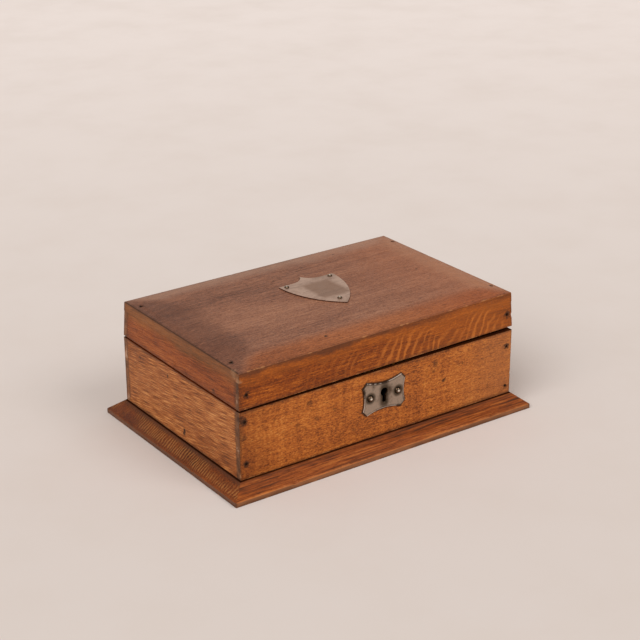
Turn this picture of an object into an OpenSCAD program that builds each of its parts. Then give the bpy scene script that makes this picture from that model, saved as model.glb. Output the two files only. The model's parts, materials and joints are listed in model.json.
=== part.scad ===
// Desk letter box: a nailed wooden box with a hinged, pillow-topped lid, a box lock and a bevelled base.
// X runs along the length, Y from the front to the back, Z up.
// The origin is on the ground under the middle of the box.

/* [Body] */
// Length of the body over its end boards
body_w = 280; // [240:1:330]
// Depth of the body from front to back
body_d = 182.6; // [160:0.2:230]
// Height of the body boards
body_h = 59.4; // [52:0.2:90]
// Thickness of the body boards and of the lid rails
board_t = 9.5; // [9:0.1:11]
// Thickness left on the front and back boards where they lap the end boards
lap_t = 5.2; // [4:0.1:6]

/* [Base board] */
// How far the base board stands out from the body on every side
base_out = 13.1; // [10:0.1:20]
// Thickness of the base board
base_t = 14.5; // [12:0.1:18]
// Height of the upright edge under the bevel
base_edge_h = 4; // [3:0.1:6]

/* [Lid] */
// Gap between the body and the lid
lid_gap = 1.5; // [1.3:0.1:1.8]
// Height of the lid at its edges
lid_h = 31; // [28:0.1:40]
// Thickness of the lid top board at its edges
lid_top_t = 8.2; // [7.4:0.1:9.5]
// How far the lid's faces lean in from their foot to their top
lid_lean = 1.5; // [0:0.1:2]
// How far the middle of the lid top rises above its edges
crown = 3.2; // [1:0.1:4]
// Width of the soft slope from the lid's edge to its flat middle
slope_w = 30; // [20:1:34]
// How far the twisted lid stands up at its front right corner
twist = 2.1; // [0:0.1:2.4]
// Thickness of the glue line under the lid top board
glue_t = 0.06; // [0.05:0.01:0.1]

/* [Nails] */
// Diameter of a nail's shank
nail_d = 1.8; // [1.5:0.1:2]
// Diameter of a nail's head
nail_head_d = 2.6; // [2.4:0.1:3]
// Thickness of a nail's head
nail_head_t = 0.8; // [0.6:0.1:1]
// How deep the nail heads are punched below the wood
nail_sink = 0.5; // [0.2:0.1:0.8]
// Length of a nail's point
nail_point_l = 2.5; // [2:0.1:3]
// Length of the body's corner nails
body_nail_l = 28; // [22:1:32]
// Length of the lid frame's corner nails
lid_nail_l = 18; // [14:1:18]
// Length of the nails through the lid top
top_nail_l = 22; // [18:1:22]
// Distance of the upper left nail below the body's top
upper_left_nail = 9.2; // [8:0.1:16]
// Distance of the upper right nail below the body's top
upper_right_nail = 14.6; // [8:0.1:16]
// Height of the lower left nail above the base board
lower_left_nail = 13.3; // [6:0.1:15]
// Height of the lower right nail above the base board
lower_right_nail = 7.4; // [6:0.1:15]
// How far the lower nails stray inwards from the middle of the end boards
lower_nail_stray = 0.8; // [0:0.1:1]
// Height of the lid frame's nails above its foot
lid_nail_rise = 11.8; // [8:0.1:14]
// How far the left lid nail lies inside the middle of the end rail
left_lid_nail_in = 2.6; // [1:0.1:2.7]
// How far the right lid nail lies inside the middle of the end rail
right_lid_nail_in = 1.6; // [1:0.1:2.7]
// Distance of the nails through the lid top from the front and the back
top_nail_inset = 21.3; // [20:0.1:30]
// How far the nails through the lid top lie inside the middle of the end rails
top_nail_in = 2; // [1:0.1:2.4]
// Clearance around every nail and screw
shank_play = 0.05; // [0.04:0.01:0.08]

/* [Base screws] */
// Length of a base screw
base_screw_l = 28; // [24:1:30]
// Shank diameter of a base screw
base_screw_d = 3.5; // [3:0.1:4]
// Head diameter of a base screw
base_head_d = 7; // [6:0.1:7.5]
// How deep the base screw heads lie below the underside
base_screw_sink = 0.6; // [0.4:0.1:0.9]
// Distance of the base screws from the body's corners
base_screw_inset = 45; // [34:1:60]

/* [Small screws] */
// Shank diameter of the hinge and lock screws
screw_d = 2.2; // [2:0.1:2.4]
// Head diameter of the hinge and lock screws
screw_head_d = 4.2; // [4:0.1:4.4]
// Height of the cone under a hinge or lock screw's head
screw_head_h = 1; // [0.9:0.05:1.1]
// Length of a hinge screw
hinge_screw_l = 11; // [9:0.5:13]
// Length of a lock screw
lock_screw_l = 7.2; // [6:0.1:7.4]
// Length of a link plate screw
link_screw_l = 10; // [8:0.5:12]

/* [Hinges] */
// Distance of each hinge's middle from the end of the body
hinge_inset = 55; // [40:1:70]
// Length of a hinge
hinge_l = 38; // [34:0.5:42]
// Thickness of a hinge leaf
leaf_t = 1.3; // [1.2:0.1:1.4]
// Reach of a hinge leaf from the pin's axis
leaf_reach = 8; // [7.7:0.1:8.3]
// Outer diameter of the hinge knuckles
knuckle_d = 4.6; // [4.4:0.1:5]
// Diameter of the hinge pin
hinge_pin_d = 2.2; // [1.8:0.1:2.4]
// How far the hinge pin's axis lies inside the back face
pin_inset = 0.6; // [0.5:0.05:0.7]
// Radial clearance of the hinge pin
pin_play = 0.05; // [0.03:0.01:0.08]
// Distance of the outer hinge screws from the ends of a leaf
hinge_screw_edge = 6; // [5:0.5:8]
// Gap between neighbouring knuckles
knuckle_gap = 0.3; // [0.3:0.05:0.5]
// Clearance of the wood around the knuckles
knuckle_room = 0.4; // [0.35:0.05:0.6]

/* [Lock] */
// Distance of the key's axis from the middle of the box
key_x = 0.9; // [-5:0.1:5]
// Distance of the key's axis below the body's top
key_drop = 20.3; // [19:0.1:21]
// Width of the lock's back plate and top plate
lock_w = 60; // [58:1:66]
// Height of the lock from its foot to its top plate
lock_h = 32; // [31:0.5:34]
// Depth of the lock from its back plate to its cap
lock_depth = 7; // [7:0.1:7.4]
// Width of the lock's case
case_w = 44; // [44:0.5:46]
// Thickness of the lock's back plate
back_plate_t = 1.2; // [1.1:0.1:1.3]
// Thickness of the lock's top plate
top_plate_t = 1.5; // [1.3:0.1:1.6]
// Thickness of the lock's rim and cap
case_t = 0.8; // [0.7:0.1:1]
// Height of the lower lock screws above the lock's foot
lock_screw_foot = 5; // [4:0.5:8]
// Distance of the upper lock screws below the body's top
lock_screw_drop = 9; // [7:0.5:11]
// Diameter of the hole that the key's tip turns in
key_tip_d = 3.2; // [2.8:0.1:3.6]
// Clearance of plates and cases let into the wood
let_in_gap = 0.1; // [0.05:0.05:0.15]

/* [Bolt] */
// Travel of the bolt
bolt_travel = 4; // [3.5:0.1:4.2]
// Thickness of the bolt
bolt_t = 2; // [1.8:0.1:2.2]
// Room at each end of the bolt's travel
bolt_end_room = 0.8; // [0.5:0.1:1]
// Height of the bolt's bar
bolt_h = 7.2; // [7:0.1:7.4]
// Distance of the bolt's bar above the key's axis
bolt_rise = 5.4; // [5.2:0.1:5.6]
// Width of the bolt's hook where it rises beside a staple
hook_w = 2.7; // [2.4:0.1:3]
// Height of a hook's finger
finger_h = 2.4; // [2:0.1:2.6]
// Depth of the notch that the key drives
talon_h = 4.2; // [3.8:0.1:4.4]
// Width of the notch that the key drives
talon_w = 8; // [7:0.5:9]
// Diameter of the pegs that guide the bolt
peg_d = 2.4; // [2:0.1:2.6]
// How far each peg stands outside the staple beside it
peg_out = 0.5; // [0:0.1:0.6]
// Height of the seat under the bow spring
spring_seat_h = 1.5; // [1:0.1:2]
// How far that seat reaches past the bow spring
spring_seat_out = 0.5; // [0.3:0.1:0.6]
// Thickness of the bow spring
spring_t = 0.5; // [0.4:0.1:0.6]
// Width of the bow spring
spring_w = 3; // [2.5:0.1:3.4]
// Running clearance inside the lock
lock_play = 0.2; // [0.15:0.05:0.25]

/* [Link plate] */
// Thickness of the link plate
link_t = 1.2; // [1:0.1:1.4]
// Thickness of a staple, along the bolt's travel
staple_t = 1.6; // [1.4:0.1:1.8]
// Width of a staple, across the bolt
staple_w = 4.4; // [4.2:0.1:4.6]
// Thickness of the metal around a staple's eye
staple_wall = 1; // [0.8:0.05:1.1]
// Clearance around a staple and a finger
staple_room = 0.4; // [0.3:0.05:0.45]
// Distance of the link plate's screws from its ends
link_screw_edge = 6; // [5:0.5:7]

/* [Keyhole plate] */
// Width of the keyhole plate
plate_w = 43.2; // [40:0.2:48]
// Height of the keyhole plate
plate_h = 29.8; // [28:0.2:32]
// Thickness of the keyhole plate
plate_t = 1; // [0.8:0.1:1.2]
// How far its middle lies below the key's axis
plate_drop = 2.9; // [2.5:0.1:3.3]
// Width of a clipped corner
clip_w = 4.4; // [3:0.1:5]
// Height of a clipped corner
clip_h = 5; // [4:0.1:5.5]
// How deep the long edges curve in
waist_long = 3.3; // [2:0.1:3.6]
// How deep the short edges curve in
waist_short = 1.5; // [1:0.1:2]
// Diameter of the keyhole
keyhole_d = 7.2; // [6.8:0.1:7.6]
// Width of the keyhole's slot
keyslot_w = 3.8; // [3.2:0.1:4]
// Reach of the keyhole's slot below the key's axis
keyslot_l = 9.2; // [8.6:0.1:9.4]
// Distance between the two dome pins of the keyhole plate
plate_pin_pitch = 28.3; // [27:0.1:30]
// Height of those pins above the plate's middle
plate_pin_rise = 0.4; // [-1:0.1:1]

/* [Shield plate] */
// Distance of the shield's axis from the middle of the box
shield_x = 8.2; // [-10:0.1:10]
// Distance of the shield's shoulders behind the middle of the box
shield_y = 30.4; // [25:0.1:35]
// Width of the shield
shield_w = 56.4; // [48:0.2:60]
// Height of the shield from its tip to its shoulders
shield_h = 61; // [52:0.5:66]
// Thickness of the shield plate
shield_t = 0.9; // [0.7:0.1:1.2]
// How far the peak of its top edge rises above the shoulders
shield_peak = 10; // [6:0.5:12]
// Half of the width of that peak at its foot
peak_w = 14; // [10:0.5:16]
// Distance of the two upper pins from the shield's axis
shield_pin_x = 22.7; // [19:0.1:23]
// Distance of the two upper pins below the shoulders
shield_pin_drop = 3.8; // [3.6:0.1:6]
// Distance of the lower pin above the tip
shield_tip_pin = 11; // [10:0.1:14]

/* [Dome pins] */
// Diameter of a dome pin's head on the keyhole plate
plate_pin_head_d = 6.4; // [5:0.1:6.6]
// Diameter of a dome pin's head on the shield
shield_pin_head_d = 4.4; // [4:0.1:5]
// Height of a dome pin's head as a share of its diameter
dome_rise = 0.36; // [0.25:0.01:0.45]
// Diameter of a dome pin's shank
pin_shank_d = 1.4; // [1.2:0.1:1.6]
// Length of a dome pin's shank in the front board
plate_pin_l = 2; // [1.5:0.1:2]
// Length of a dome pin's shank in the lid
shield_pin_l = 6; // [4:0.5:8]

/* [Hidden] */

oak = "#9b5526";
oak_top = "#8a5138";
oak_base = "#8d4c22";
iron = "#3a322d";
nickel = "#a39684";
brass = "#b08d4a";

// Cuts run this far past the faces that they open.
past = 1;
$fn = 48;

// Levels
body_top = base_t + body_h;
lid_foot = body_top + lid_gap;
rail_h = lid_h - lid_top_t;
rail_lean = lid_lean * rail_h / lid_h;
lid_edge_top = lid_foot + lid_h;

// Middles of the board thicknesses
front_mid = -body_d / 2 + board_t / 2;
side_mid = body_w / 2 - board_t / 2;

// The twist lifts the lid most at its front right corner, and leaves the hinged edge straight.
function lift(x, y) = twist * (x / body_w + 0.5) * (0.5 - y / body_d);

// Rise of the pillow at a distance from the nearest edge
function pillow(d) = crown * (1 - pow(1 - min(d / slope_w, 1), 2));

// Height of the lid's upper surface at a point
function lid_top_z(x, y) =
    lid_edge_top + lift(x, y)
    + pillow(min(body_w / 2 - lid_lean - abs(x), body_d / 2 - lid_lean - abs(y)));

// Nail places: X and height on the front, then distances from the middle on the lid top
body_nail_places = [
    [-side_mid, body_top - upper_left_nail],
    [-side_mid + lower_nail_stray, base_t + lower_left_nail],
    [side_mid - lower_nail_stray, body_top - upper_right_nail],
    [side_mid - lower_nail_stray, base_t + lower_right_nail]
];
lid_nail_places = [
    [-side_mid + left_lid_nail_in, lid_foot + lid_nail_rise],
    [side_mid - right_lid_nail_in, lid_foot + lid_nail_rise]
];
top_nail_x = side_mid - top_nail_in;
top_nail_y = body_d / 2 - top_nail_inset;

// Base screws: three along the front and the back, two along each end
base_screw_x = body_w / 2 - base_screw_inset;
base_screw_y = body_d / 2 - base_screw_inset;
base_screw_places = concat(
    [for (x = [-base_screw_x, 0, base_screw_x], s = [-1, 1]) [x, s * front_mid]],
    [for (s = [-1, 1], y = [-base_screw_y, base_screw_y]) [s * side_mid, y]]
);

// Hinge axis and knuckles
hinge_x = body_w / 2 - hinge_inset;
axis_y = body_d / 2 - pin_inset;
axis_z = body_top + lid_gap / 2;
knuckle_count = 5;
knuckle_l = (hinge_l - (knuckle_count - 1) * knuckle_gap) / knuckle_count;
knuckle_step = knuckle_l + knuckle_gap;
hinge_screw_y = axis_y - (knuckle_d / 2 + leaf_reach) / 2;
hinge_screw_pitch = hinge_l / 2 - hinge_screw_edge;

// Outline of a lapped board or rail at the front, which laps over the end boards
lapped_outline = [
    [-body_w / 2, -body_d / 2],
    [body_w / 2, -body_d / 2],
    [body_w / 2, -body_d / 2 + lap_t],
    [body_w / 2 - board_t, -body_d / 2 + lap_t],
    [body_w / 2 - board_t, -body_d / 2 + board_t],
    [-body_w / 2 + board_t, -body_d / 2 + board_t],
    [-body_w / 2 + board_t, -body_d / 2 + lap_t],
    [-body_w / 2, -body_d / 2 + lap_t]
];

// Lock, behind the key's axis
key_z = body_top - key_drop;
inner_face = -body_d / 2 + board_t;
lock_front = inner_face - lock_depth;
cavity_front = lock_front + case_t;
cavity_back = inner_face - back_plate_t;
cavity_mid = (cavity_front + cavity_back) / 2;
lock_foot = body_top - lock_h;
lock_roof = body_top - top_plate_t;
lock_screw_x = (lock_w + case_w) / 4;
lock_screw_z = [lock_foot + lock_screw_foot, body_top - lock_screw_drop];
bolt_foot = key_z + bolt_rise;
bolt_top = bolt_foot + bolt_h;
peg_z = bolt_foot + bolt_h / 2;

// Staples, and the hooks whose fingers pass through their eyes
link_foot = lid_foot + lift(key_x, front_mid);
staple_foot = bolt_top + lock_play;
eye_foot = staple_foot + staple_wall;
finger_foot = eye_foot + staple_room;
finger_top = finger_foot + finger_h;
eye_top = finger_top + staple_room;
eye_w = staple_w - 2 * staple_wall;
hook_back = staple_t / 2 + staple_room + bolt_travel + hook_w;
finger_tip = staple_t / 2 + staple_room + lock_play;
link_screw_x = lock_w / 2 - link_screw_edge;

// The bolt fills the case but for its travel, and its left hook stands at the bar's end.
bolt_x = key_x - case_w / 2 + case_t + bolt_end_room;
bolt_l = case_w - 2 * case_t - 2 * bolt_end_room - bolt_travel;
staple_pitch = 2 * (key_x - bolt_x - hook_back);
peg_x = staple_pitch / 2 + peg_out;
spring_foot = bolt_top + spring_seat_h;
spring_r = lock_roof - lock_play - spring_foot;
spring_x = key_x + (staple_t / 2 - hook_back) / 2;

// Shield: its sides are arcs that are upright at the shoulders and meet at the tip.
shield_r = (pow(shield_h, 2) + pow(shield_w / 2, 2)) / shield_w;
peak_r = (pow(peak_w, 2) + pow(shield_peak, 2)) / (2 * shield_peak);
shield_mid_y = shield_y - shield_h / 2;
shield_lean_x = -atan(twist * (shield_x / body_w + 0.5) / body_d);
shield_lean_y = -atan(twist * (0.5 - shield_mid_y / body_d) / body_w);
shield_lift = 0.06;
shield_seat = lid_top_z(shield_x, shield_mid_y) + shield_lift;

// A box between two corners
module span(low, high) {
    translate(low) cube(high - low);
}

// A nail that points along +Z with the top of its head at the origin
module nail(length) {
    cylinder(d = nail_head_d, h = nail_head_t);
    translate([0, 0, nail_head_t - 0.01]) cylinder(d = nail_d, h = length - nail_point_l - nail_head_t);
    translate([0, 0, length - nail_point_l - 0.02]) cylinder(d1 = nail_d, d2 = nail_d / 3, h = nail_point_l);
}

// The hole of such a nail, open towards the wood's face
module nail_hole(length) {
    translate([0, 0, -nail_sink - past]) {
        cylinder(d = nail_head_d + 2 * shank_play, h = nail_sink + past + nail_head_t + shank_play);
        cylinder(d = nail_d + 2 * shank_play, h = nail_sink + past + length + shank_play);
    }
}

// A countersunk screw that points along +Z with the top of its head at the origin
module screw(length, shank, head, head_h) {
    slot_w = head / 6;
    slot_h = head_h / 2;
    difference() {
        union() {
            cylinder(d1 = head, d2 = shank, h = head_h);
            translate([0, 0, head_h - 0.01]) cylinder(d = shank, h = length - head_h - shank);
            translate([0, 0, length - shank - 0.02]) cylinder(d1 = shank, d2 = shank / 4, h = shank);
        }
        translate([-head, -slot_w / 2, -past]) cube([2 * head, slot_w, past + slot_h]);
    }
}

// The hole of such a screw, open towards the wood's face
module screw_hole(length, shank, head, head_h) {
    rim = head + 2 * shank_play;
    bore = shank + 2 * shank_play;
    translate([0, 0, -past]) cylinder(d = rim, h = past + 0.01);
    cylinder(d1 = rim, d2 = bore, h = head_h);
    cylinder(d = bore, h = length + shank_play);
}

module small_screw(length) {
    screw(length, screw_d, screw_head_d, screw_head_h);
}

module small_screw_hole(length) {
    screw_hole(length, screw_d, screw_head_d, screw_head_h);
}

// Places a child at every corner nail of the body, driven in from the front and from the back
module at_body_nails() {
    for (p = body_nail_places, s = [0, 1])
        rotate([0, 0, 180 * s])
            translate([p.x, -body_d / 2 + nail_sink, p.y]) rotate([-90, 0, 0]) children();
}

// Places a child at every corner nail of the lid frame
module at_lid_nails() {
    for (p = lid_nail_places, s = [0, 1]) {
        lean = lid_lean * (p.y - lid_foot) / lid_h;
        face = -body_d / 2 + lean;
        rise = s == 0 ? lift(p.x, -body_d / 2) : 0;
        rotate([0, 0, 180 * s])
            translate([p.x, face + nail_sink, p.y + rise]) rotate([-90, 0, 0]) children();
    }
}

// Places a child at every nail through the lid top
module at_top_nails() {
    for (x = [-top_nail_x, top_nail_x], y = [-top_nail_y, top_nail_y])
        translate([x, y, lid_top_z(x, y) - nail_sink]) rotate([180, 0, 0]) children();
}

// Places a child at every base screw
module at_base_screws() {
    for (p = base_screw_places)
        translate([p.x, p.y, base_screw_sink]) children();
}

// Places a child at every hinge screw of the body leaves
module at_body_leaf_screws() {
    for (h = [-hinge_x, hinge_x], i = [-1, 0, 1])
        translate([h + i * hinge_screw_pitch, hinge_screw_y, body_top]) rotate([180, 0, 0]) children();
}

// Places a child at every hinge screw of the lid leaves
module at_lid_leaf_screws() {
    for (h = [-hinge_x, hinge_x], i = [-1, 0, 1])
        translate([h + i * hinge_screw_pitch, hinge_screw_y, lid_foot]) children();
}

// Places a child at every screw of the lock's back plate
module at_lock_screws() {
    for (s = [-1, 1], z = lock_screw_z)
        translate([key_x + s * lock_screw_x, inner_face, z]) rotate([90, 0, 0]) children();
}

// Places a child at both screws of the link plate
module at_link_screws() {
    for (s = [-1, 1])
        translate([key_x + s * link_screw_x, cavity_mid, link_foot]) children();
}

// Places a child at both pins of the keyhole plate
module at_plate_pins() {
    for (s = [-1, 1])
        translate([key_x + s * plate_pin_pitch / 2, -body_d / 2 - plate_t, key_z - plate_drop + plate_pin_rise])
            rotate([90, 0, 0]) children();
}

// Puts a child on the lid top, level with the twisted surface there, the shield's shoulders on Y = 0
module on_lid_top() {
    translate([shield_x, shield_mid_y, shield_seat])
        rotate([shield_lean_x, shield_lean_y, 0])
            translate([0, shield_h / 2, 0]) children();
}

// Places a child at the three pins of the shield
module at_shield_pins() {
    places = [
        [-shield_pin_x, -shield_pin_drop],
        [shield_pin_x, -shield_pin_drop],
        [0, -shield_h + shield_tip_pin]
    ];
    for (p = places) translate([p.x, p.y, shield_t]) children();
}

// A dome-headed pin that points down, with the foot of its head at the origin
module dome_pin(head, length) {
    rise = head * dome_rise;
    r = (pow(head / 2, 2) + pow(rise, 2)) / (2 * rise);
    intersection() {
        translate([0, 0, rise - r]) sphere(r = r);
        cylinder(d = head + past, h = rise + past);
    }
    translate([0, 0, -length]) cylinder(d = pin_shank_d, h = length + 0.1, $fn = 24);
}

module pin_hole(depth) {
    translate([0, 0, -depth]) cylinder(d = pin_shank_d + 2 * shank_play, h = depth + past, $fn = 24);
}

// The keyhole's outline in the XZ plane, as a cutter along Y between two depths
module keyhole(front, back) {
    translate([key_x, back, key_z]) rotate([90, 0, 0]) linear_extrude(back - front) {
        circle(d = keyhole_d);
        translate([-keyslot_w / 2, -keyslot_l]) square([keyslot_w, keyslot_l]);
    }
}

// Room in the front board for the lock: back plate, case and top plate
module lock_mortise() {
    g = let_in_gap;
    span(
        [key_x - lock_w / 2 - g, cavity_back - g, lock_foot - g],
        [key_x + lock_w / 2 + g, inner_face + past, body_top + past]
    );
    span(
        [key_x - case_w / 2 - g, lock_front - g, lock_foot - g],
        [key_x + case_w / 2 + g, inner_face + past, body_top + past]
    );
    span(
        [key_x - lock_w / 2 - g, lock_front - g, lock_roof - g],
        [key_x + lock_w / 2 + g, inner_face + past, body_top + past]
    );
}

// Room in a back board for one leaf and for the knuckles, on the side where s points
module hinge_room(face, s) {
    knuckle_z = knuckle_d / 2 + knuckle_room;
    leaf_face = face + s * (leaf_t + let_in_gap);
    for (h = [-hinge_x, hinge_x]) {
        x0 = h - hinge_l / 2 - let_in_gap;
        x1 = h + hinge_l / 2 + let_in_gap;
        span(
            [x0, axis_y - leaf_reach - let_in_gap, min(face - s * past, leaf_face)],
            [x1, body_d / 2 + past, max(face - s * past, leaf_face)]
        );
        span(
            [x0, axis_y - knuckle_z, min(face - s * past, axis_z + s * knuckle_z)],
            [x1, body_d / 2 + past, max(face - s * past, axis_z + s * knuckle_z)]
        );
    }
}

module base_board() {
    long = body_w + 2 * base_out;
    deep = body_d + 2 * base_out;
    color(oak_base) difference() {
        intersection() {
            rotate([90, 0, 0]) linear_extrude(deep, center = true) bevelled_outline(long, body_w);
            rotate([90, 0, 90]) linear_extrude(long, center = true) bevelled_outline(deep, body_d);
        }
        at_base_screws() base_screw_hole();
    }
}

// Section of the base board: upright edges, then a bevel up to the body
module bevelled_outline(foot, top) {
    polygon([
        [-foot / 2, 0],
        [foot / 2, 0],
        [foot / 2, base_edge_h],
        [top / 2, base_t],
        [-top / 2, base_t],
        [-foot / 2, base_edge_h]
    ]);
}

module base_screw_hole() {
    screw_hole(base_screw_l, base_screw_d, base_head_d, base_head_d / 2);
}

module front_board() {
    color(oak) difference() {
        translate([0, 0, base_t]) linear_extrude(body_h) polygon(lapped_outline);
        lock_mortise();
        keyhole(-body_d / 2 - past, inner_face);
        at_lock_screws() small_screw_hole(lock_screw_l);
        at_plate_pins() pin_hole(plate_t + plate_pin_l + shank_play);
        at_body_nails() nail_hole(body_nail_l);
        at_base_screws() base_screw_hole();
    }
}

module back_board() {
    color(oak) difference() {
        translate([0, 0, base_t]) linear_extrude(body_h) rotate(180) polygon(lapped_outline);
        hinge_room(body_top, -1);
        at_body_leaf_screws() small_screw_hole(hinge_screw_l);
        at_body_nails() nail_hole(body_nail_l);
        at_base_screws() base_screw_hole();
    }
}

// An end board of the body, on the side where s points
module side_board(s) {
    color(oak) difference() {
        translate([s * side_mid - board_t / 2, -body_d / 2 + lap_t, base_t])
            cube([board_t, body_d - 2 * lap_t, body_h]);
        at_body_nails() nail_hole(body_nail_l);
        at_base_screws() base_screw_hole();
    }
}

module body_corner_nails() {
    color(iron) at_body_nails() nail(body_nail_l);
}

module base_screws() {
    color(iron) at_base_screws() screw(base_screw_l, base_screw_d, base_head_d, base_head_d / 2);
}

// Moves a point on the lid's outer faces in by the lean that they reach at the head of the frame
function leaned(p) = [
    abs(p.x) > body_w / 2 - 0.01 ? sign(p.x) * (body_w / 2 - rail_lean) : p.x,
    abs(p.y) > body_d / 2 - 0.01 ? sign(p.y) * (body_d / 2 - rail_lean) : p.y
];

// A rail of the lid frame over its outline, which runs anticlockwise, with the outline's triangles
module lid_rail(outline, triangles) {
    n = len(outline);
    foot = [for (p = outline) [p.x, p.y, lid_foot + lift(p.x, p.y)]];
    head = [for (p = outline) let (q = leaned(p)) [q.x, q.y, lid_foot + rail_h + lift(q.x, q.y)]];
    walls = [for (i = [0:n - 1]) let (j = (i + 1) % n) each [[i, i + n, j + n], [i, j + n, j]]];
    over = [for (t = triangles) [t[2] + n, t[1] + n, t[0] + n]];
    polyhedron(points = concat(foot, head), faces = concat(triangles, over, walls));
}

// The front rail of the lid frame, or turned round the back rail
module lapped_rail(turn) {
    lid_rail(
        [for (p = lapped_outline) turn * p],
        [[0, 1, 2], [0, 2, 3], [0, 3, 6], [0, 6, 7], [3, 4, 5], [3, 5, 6]]
    );
}

// An end rail of the lid, on the side where s points
module end_rail(s) {
    half = body_d / 2 - lap_t;
    in = body_w / 2 - board_t;
    out = body_w / 2;
    color(oak) difference() {
        lid_rail(
            [for (p = [[in, -half], [out, -half], [out, half], [in, half]]) s * p],
            [[0, 1, 2], [0, 2, 3]]
        );
        at_lid_nails() nail_hole(lid_nail_l);
        at_top_nails() nail_hole(top_nail_l);
    }
}

module lid_front_rail() {
    g = let_in_gap;
    color(oak) difference() {
        lapped_rail(1);
        span(
            [key_x - lock_w / 2 - g, lock_front - g, lid_foot - past],
            [key_x + lock_w / 2 + g, inner_face + past, link_foot + link_t + g]
        );
        at_link_screws() small_screw_hole(link_screw_l);
        at_lid_nails() nail_hole(lid_nail_l);
    }
}

module lid_back_rail() {
    color(oak) difference() {
        lapped_rail(-1);
        hinge_room(lid_foot, 1);
        at_lid_leaf_screws() small_screw_hole(hinge_screw_l);
        at_lid_nails() nail_hole(lid_nail_l);
    }
}

// Grid lines across the lid top: close together on the slopes, wide apart on the flat middle
function grid_lines(half, slope_cells, flat_cells) = concat(
    [for (i = [0:slope_cells]) -half + slope_w * i / slope_cells],
    [for (i = [1:flat_cells - 1]) (half - slope_w) * (2 * i / flat_cells - 1)],
    [for (i = [slope_cells:-1:0]) half - slope_w * i / slope_cells]
);

module lid_top_board() {
    half_x = body_w / 2 - lid_lean;
    half_y = body_d / 2 - lid_lean;
    foot_x = (body_w / 2 - rail_lean) / half_x;
    foot_y = (body_d / 2 - rail_lean) / half_y;
    xs = grid_lines(half_x, 6, 10);
    ys = grid_lines(half_y, 6, 6);
    nx = len(xs);
    ny = len(ys);
    count = nx * ny;
    over = [for (y = ys, x = xs) [x, y, lid_top_z(x, y)]];
    under = [for (y = ys * foot_y, x = xs * foot_x) [x, y, lid_foot + rail_h + glue_t + lift(x, y)]];
    // The cells are split along the hips, which run from each corner towards the middle.
    cells = [for (j = [0:ny - 2], i = [0:nx - 2])
        let (a = i + j * nx, b = a + 1, c = b + nx, d = a + nx)
        each (xs[i] + xs[i + 1]) * (ys[j] + ys[j + 1]) >= 0 ? [[a, b, c], [a, c, d]] : [[a, b, d], [b, c, d]]];
    rim = concat(
        [for (i = [0:nx - 2]) i],
        [for (j = [0:ny - 2]) nx - 1 + j * nx],
        [for (i = [nx - 1:-1:1]) i + (ny - 1) * nx],
        [for (j = [ny - 1:-1:1]) j * nx]
    );
    walls = [for (k = [0:len(rim) - 1])
        let (i = rim[k], j = rim[(k + 1) % len(rim)])
        each [[i + count, i, j], [i + count, j, j + count]]];
    color(oak_top) difference() {
        polyhedron(
            points = concat(over, under),
            faces = concat(
                [for (t = cells) [t[2], t[1], t[0]]],
                [for (t = cells) [t[0] + count, t[1] + count, t[2] + count]],
                walls
            )
        );
        at_top_nails() nail_hole(top_nail_l);
        on_lid_top() at_shield_pins() pin_hole(shield_t + shield_pin_l + shank_play);
    }
}

module lid_corner_nails() {
    color(iron) at_lid_nails() nail(lid_nail_l);
}

module lid_top_nails() {
    color(iron) at_top_nails() nail(top_nail_l);
}

// Outline of the keyhole plate round its middle: clipped corners and four edges that curve in
module keyhole_plate_outline() {
    half_w = plate_w / 2;
    half_h = plate_h / 2;
    long_chord = half_w - clip_w;
    short_chord = half_h - clip_h;
    long_r = (pow(long_chord, 2) + pow(waist_long, 2)) / (2 * waist_long);
    short_r = (pow(short_chord, 2) + pow(waist_short, 2)) / (2 * waist_short);
    difference() {
        polygon([
            [-half_w, -short_chord], [-long_chord, -half_h], [long_chord, -half_h], [half_w, -short_chord],
            [half_w, short_chord], [long_chord, half_h], [-long_chord, half_h], [-half_w, short_chord]
        ]);
        for (s = [-1, 1]) {
            translate([0, s * (half_h - waist_long + long_r)]) circle(r = long_r);
            translate([s * (half_w - waist_short + short_r), 0]) circle(r = short_r);
        }
    }
}

module keyhole_plate() {
    color(nickel) difference() {
        translate([key_x, -body_d / 2, key_z - plate_drop])
            rotate([90, 0, 0]) linear_extrude(plate_t) keyhole_plate_outline();
        keyhole(-body_d / 2 - plate_t - past, -body_d / 2 + past);
        at_plate_pins() pin_hole(plate_t + past);
    }
}

module keyhole_plate_pins() {
    color(nickel) at_plate_pins() dome_pin(plate_pin_head_d, plate_t + plate_pin_l);
}

// Outline of the shield with the middle of its shoulders at the origin
module shield_outline() {
    intersection() {
        shield_side_disc(1);
        shield_side_disc(-1);
        translate([-shield_w, -2 * shield_h]) square([2 * shield_w, 2 * shield_h]);
    }
    difference() {
        translate([-peak_w, -0.01]) square([2 * peak_w, shield_peak]);
        for (s = [-1, 1]) translate([s * peak_w, peak_r]) circle(r = peak_r);
    }
}

// The disc whose rim is the shield's side where s points
module shield_side_disc(s) {
    translate([s * (shield_w / 2 - shield_r), 0]) circle(r = shield_r);
}

module shield_plate() {
    color(nickel) on_lid_top() difference() {
        linear_extrude(shield_t) shield_outline();
        at_shield_pins() pin_hole(shield_t + past);
    }
}

module shield_pins() {
    color(nickel) on_lid_top() at_shield_pins() dome_pin(shield_pin_head_d, shield_t + shield_pin_l);
}

// Places a child at both staples, at the middle of the bolt's thickness
module at_staples() {
    for (s = [-1, 1]) translate([key_x + s * staple_pitch / 2, cavity_mid, 0]) children();
}

// Places a child at both pegs, pointing out of the box
module at_pegs() {
    for (s = [-1, 1]) translate([key_x + s * peg_x, inner_face, peg_z]) rotate([90, 0, 0]) children();
}

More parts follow.
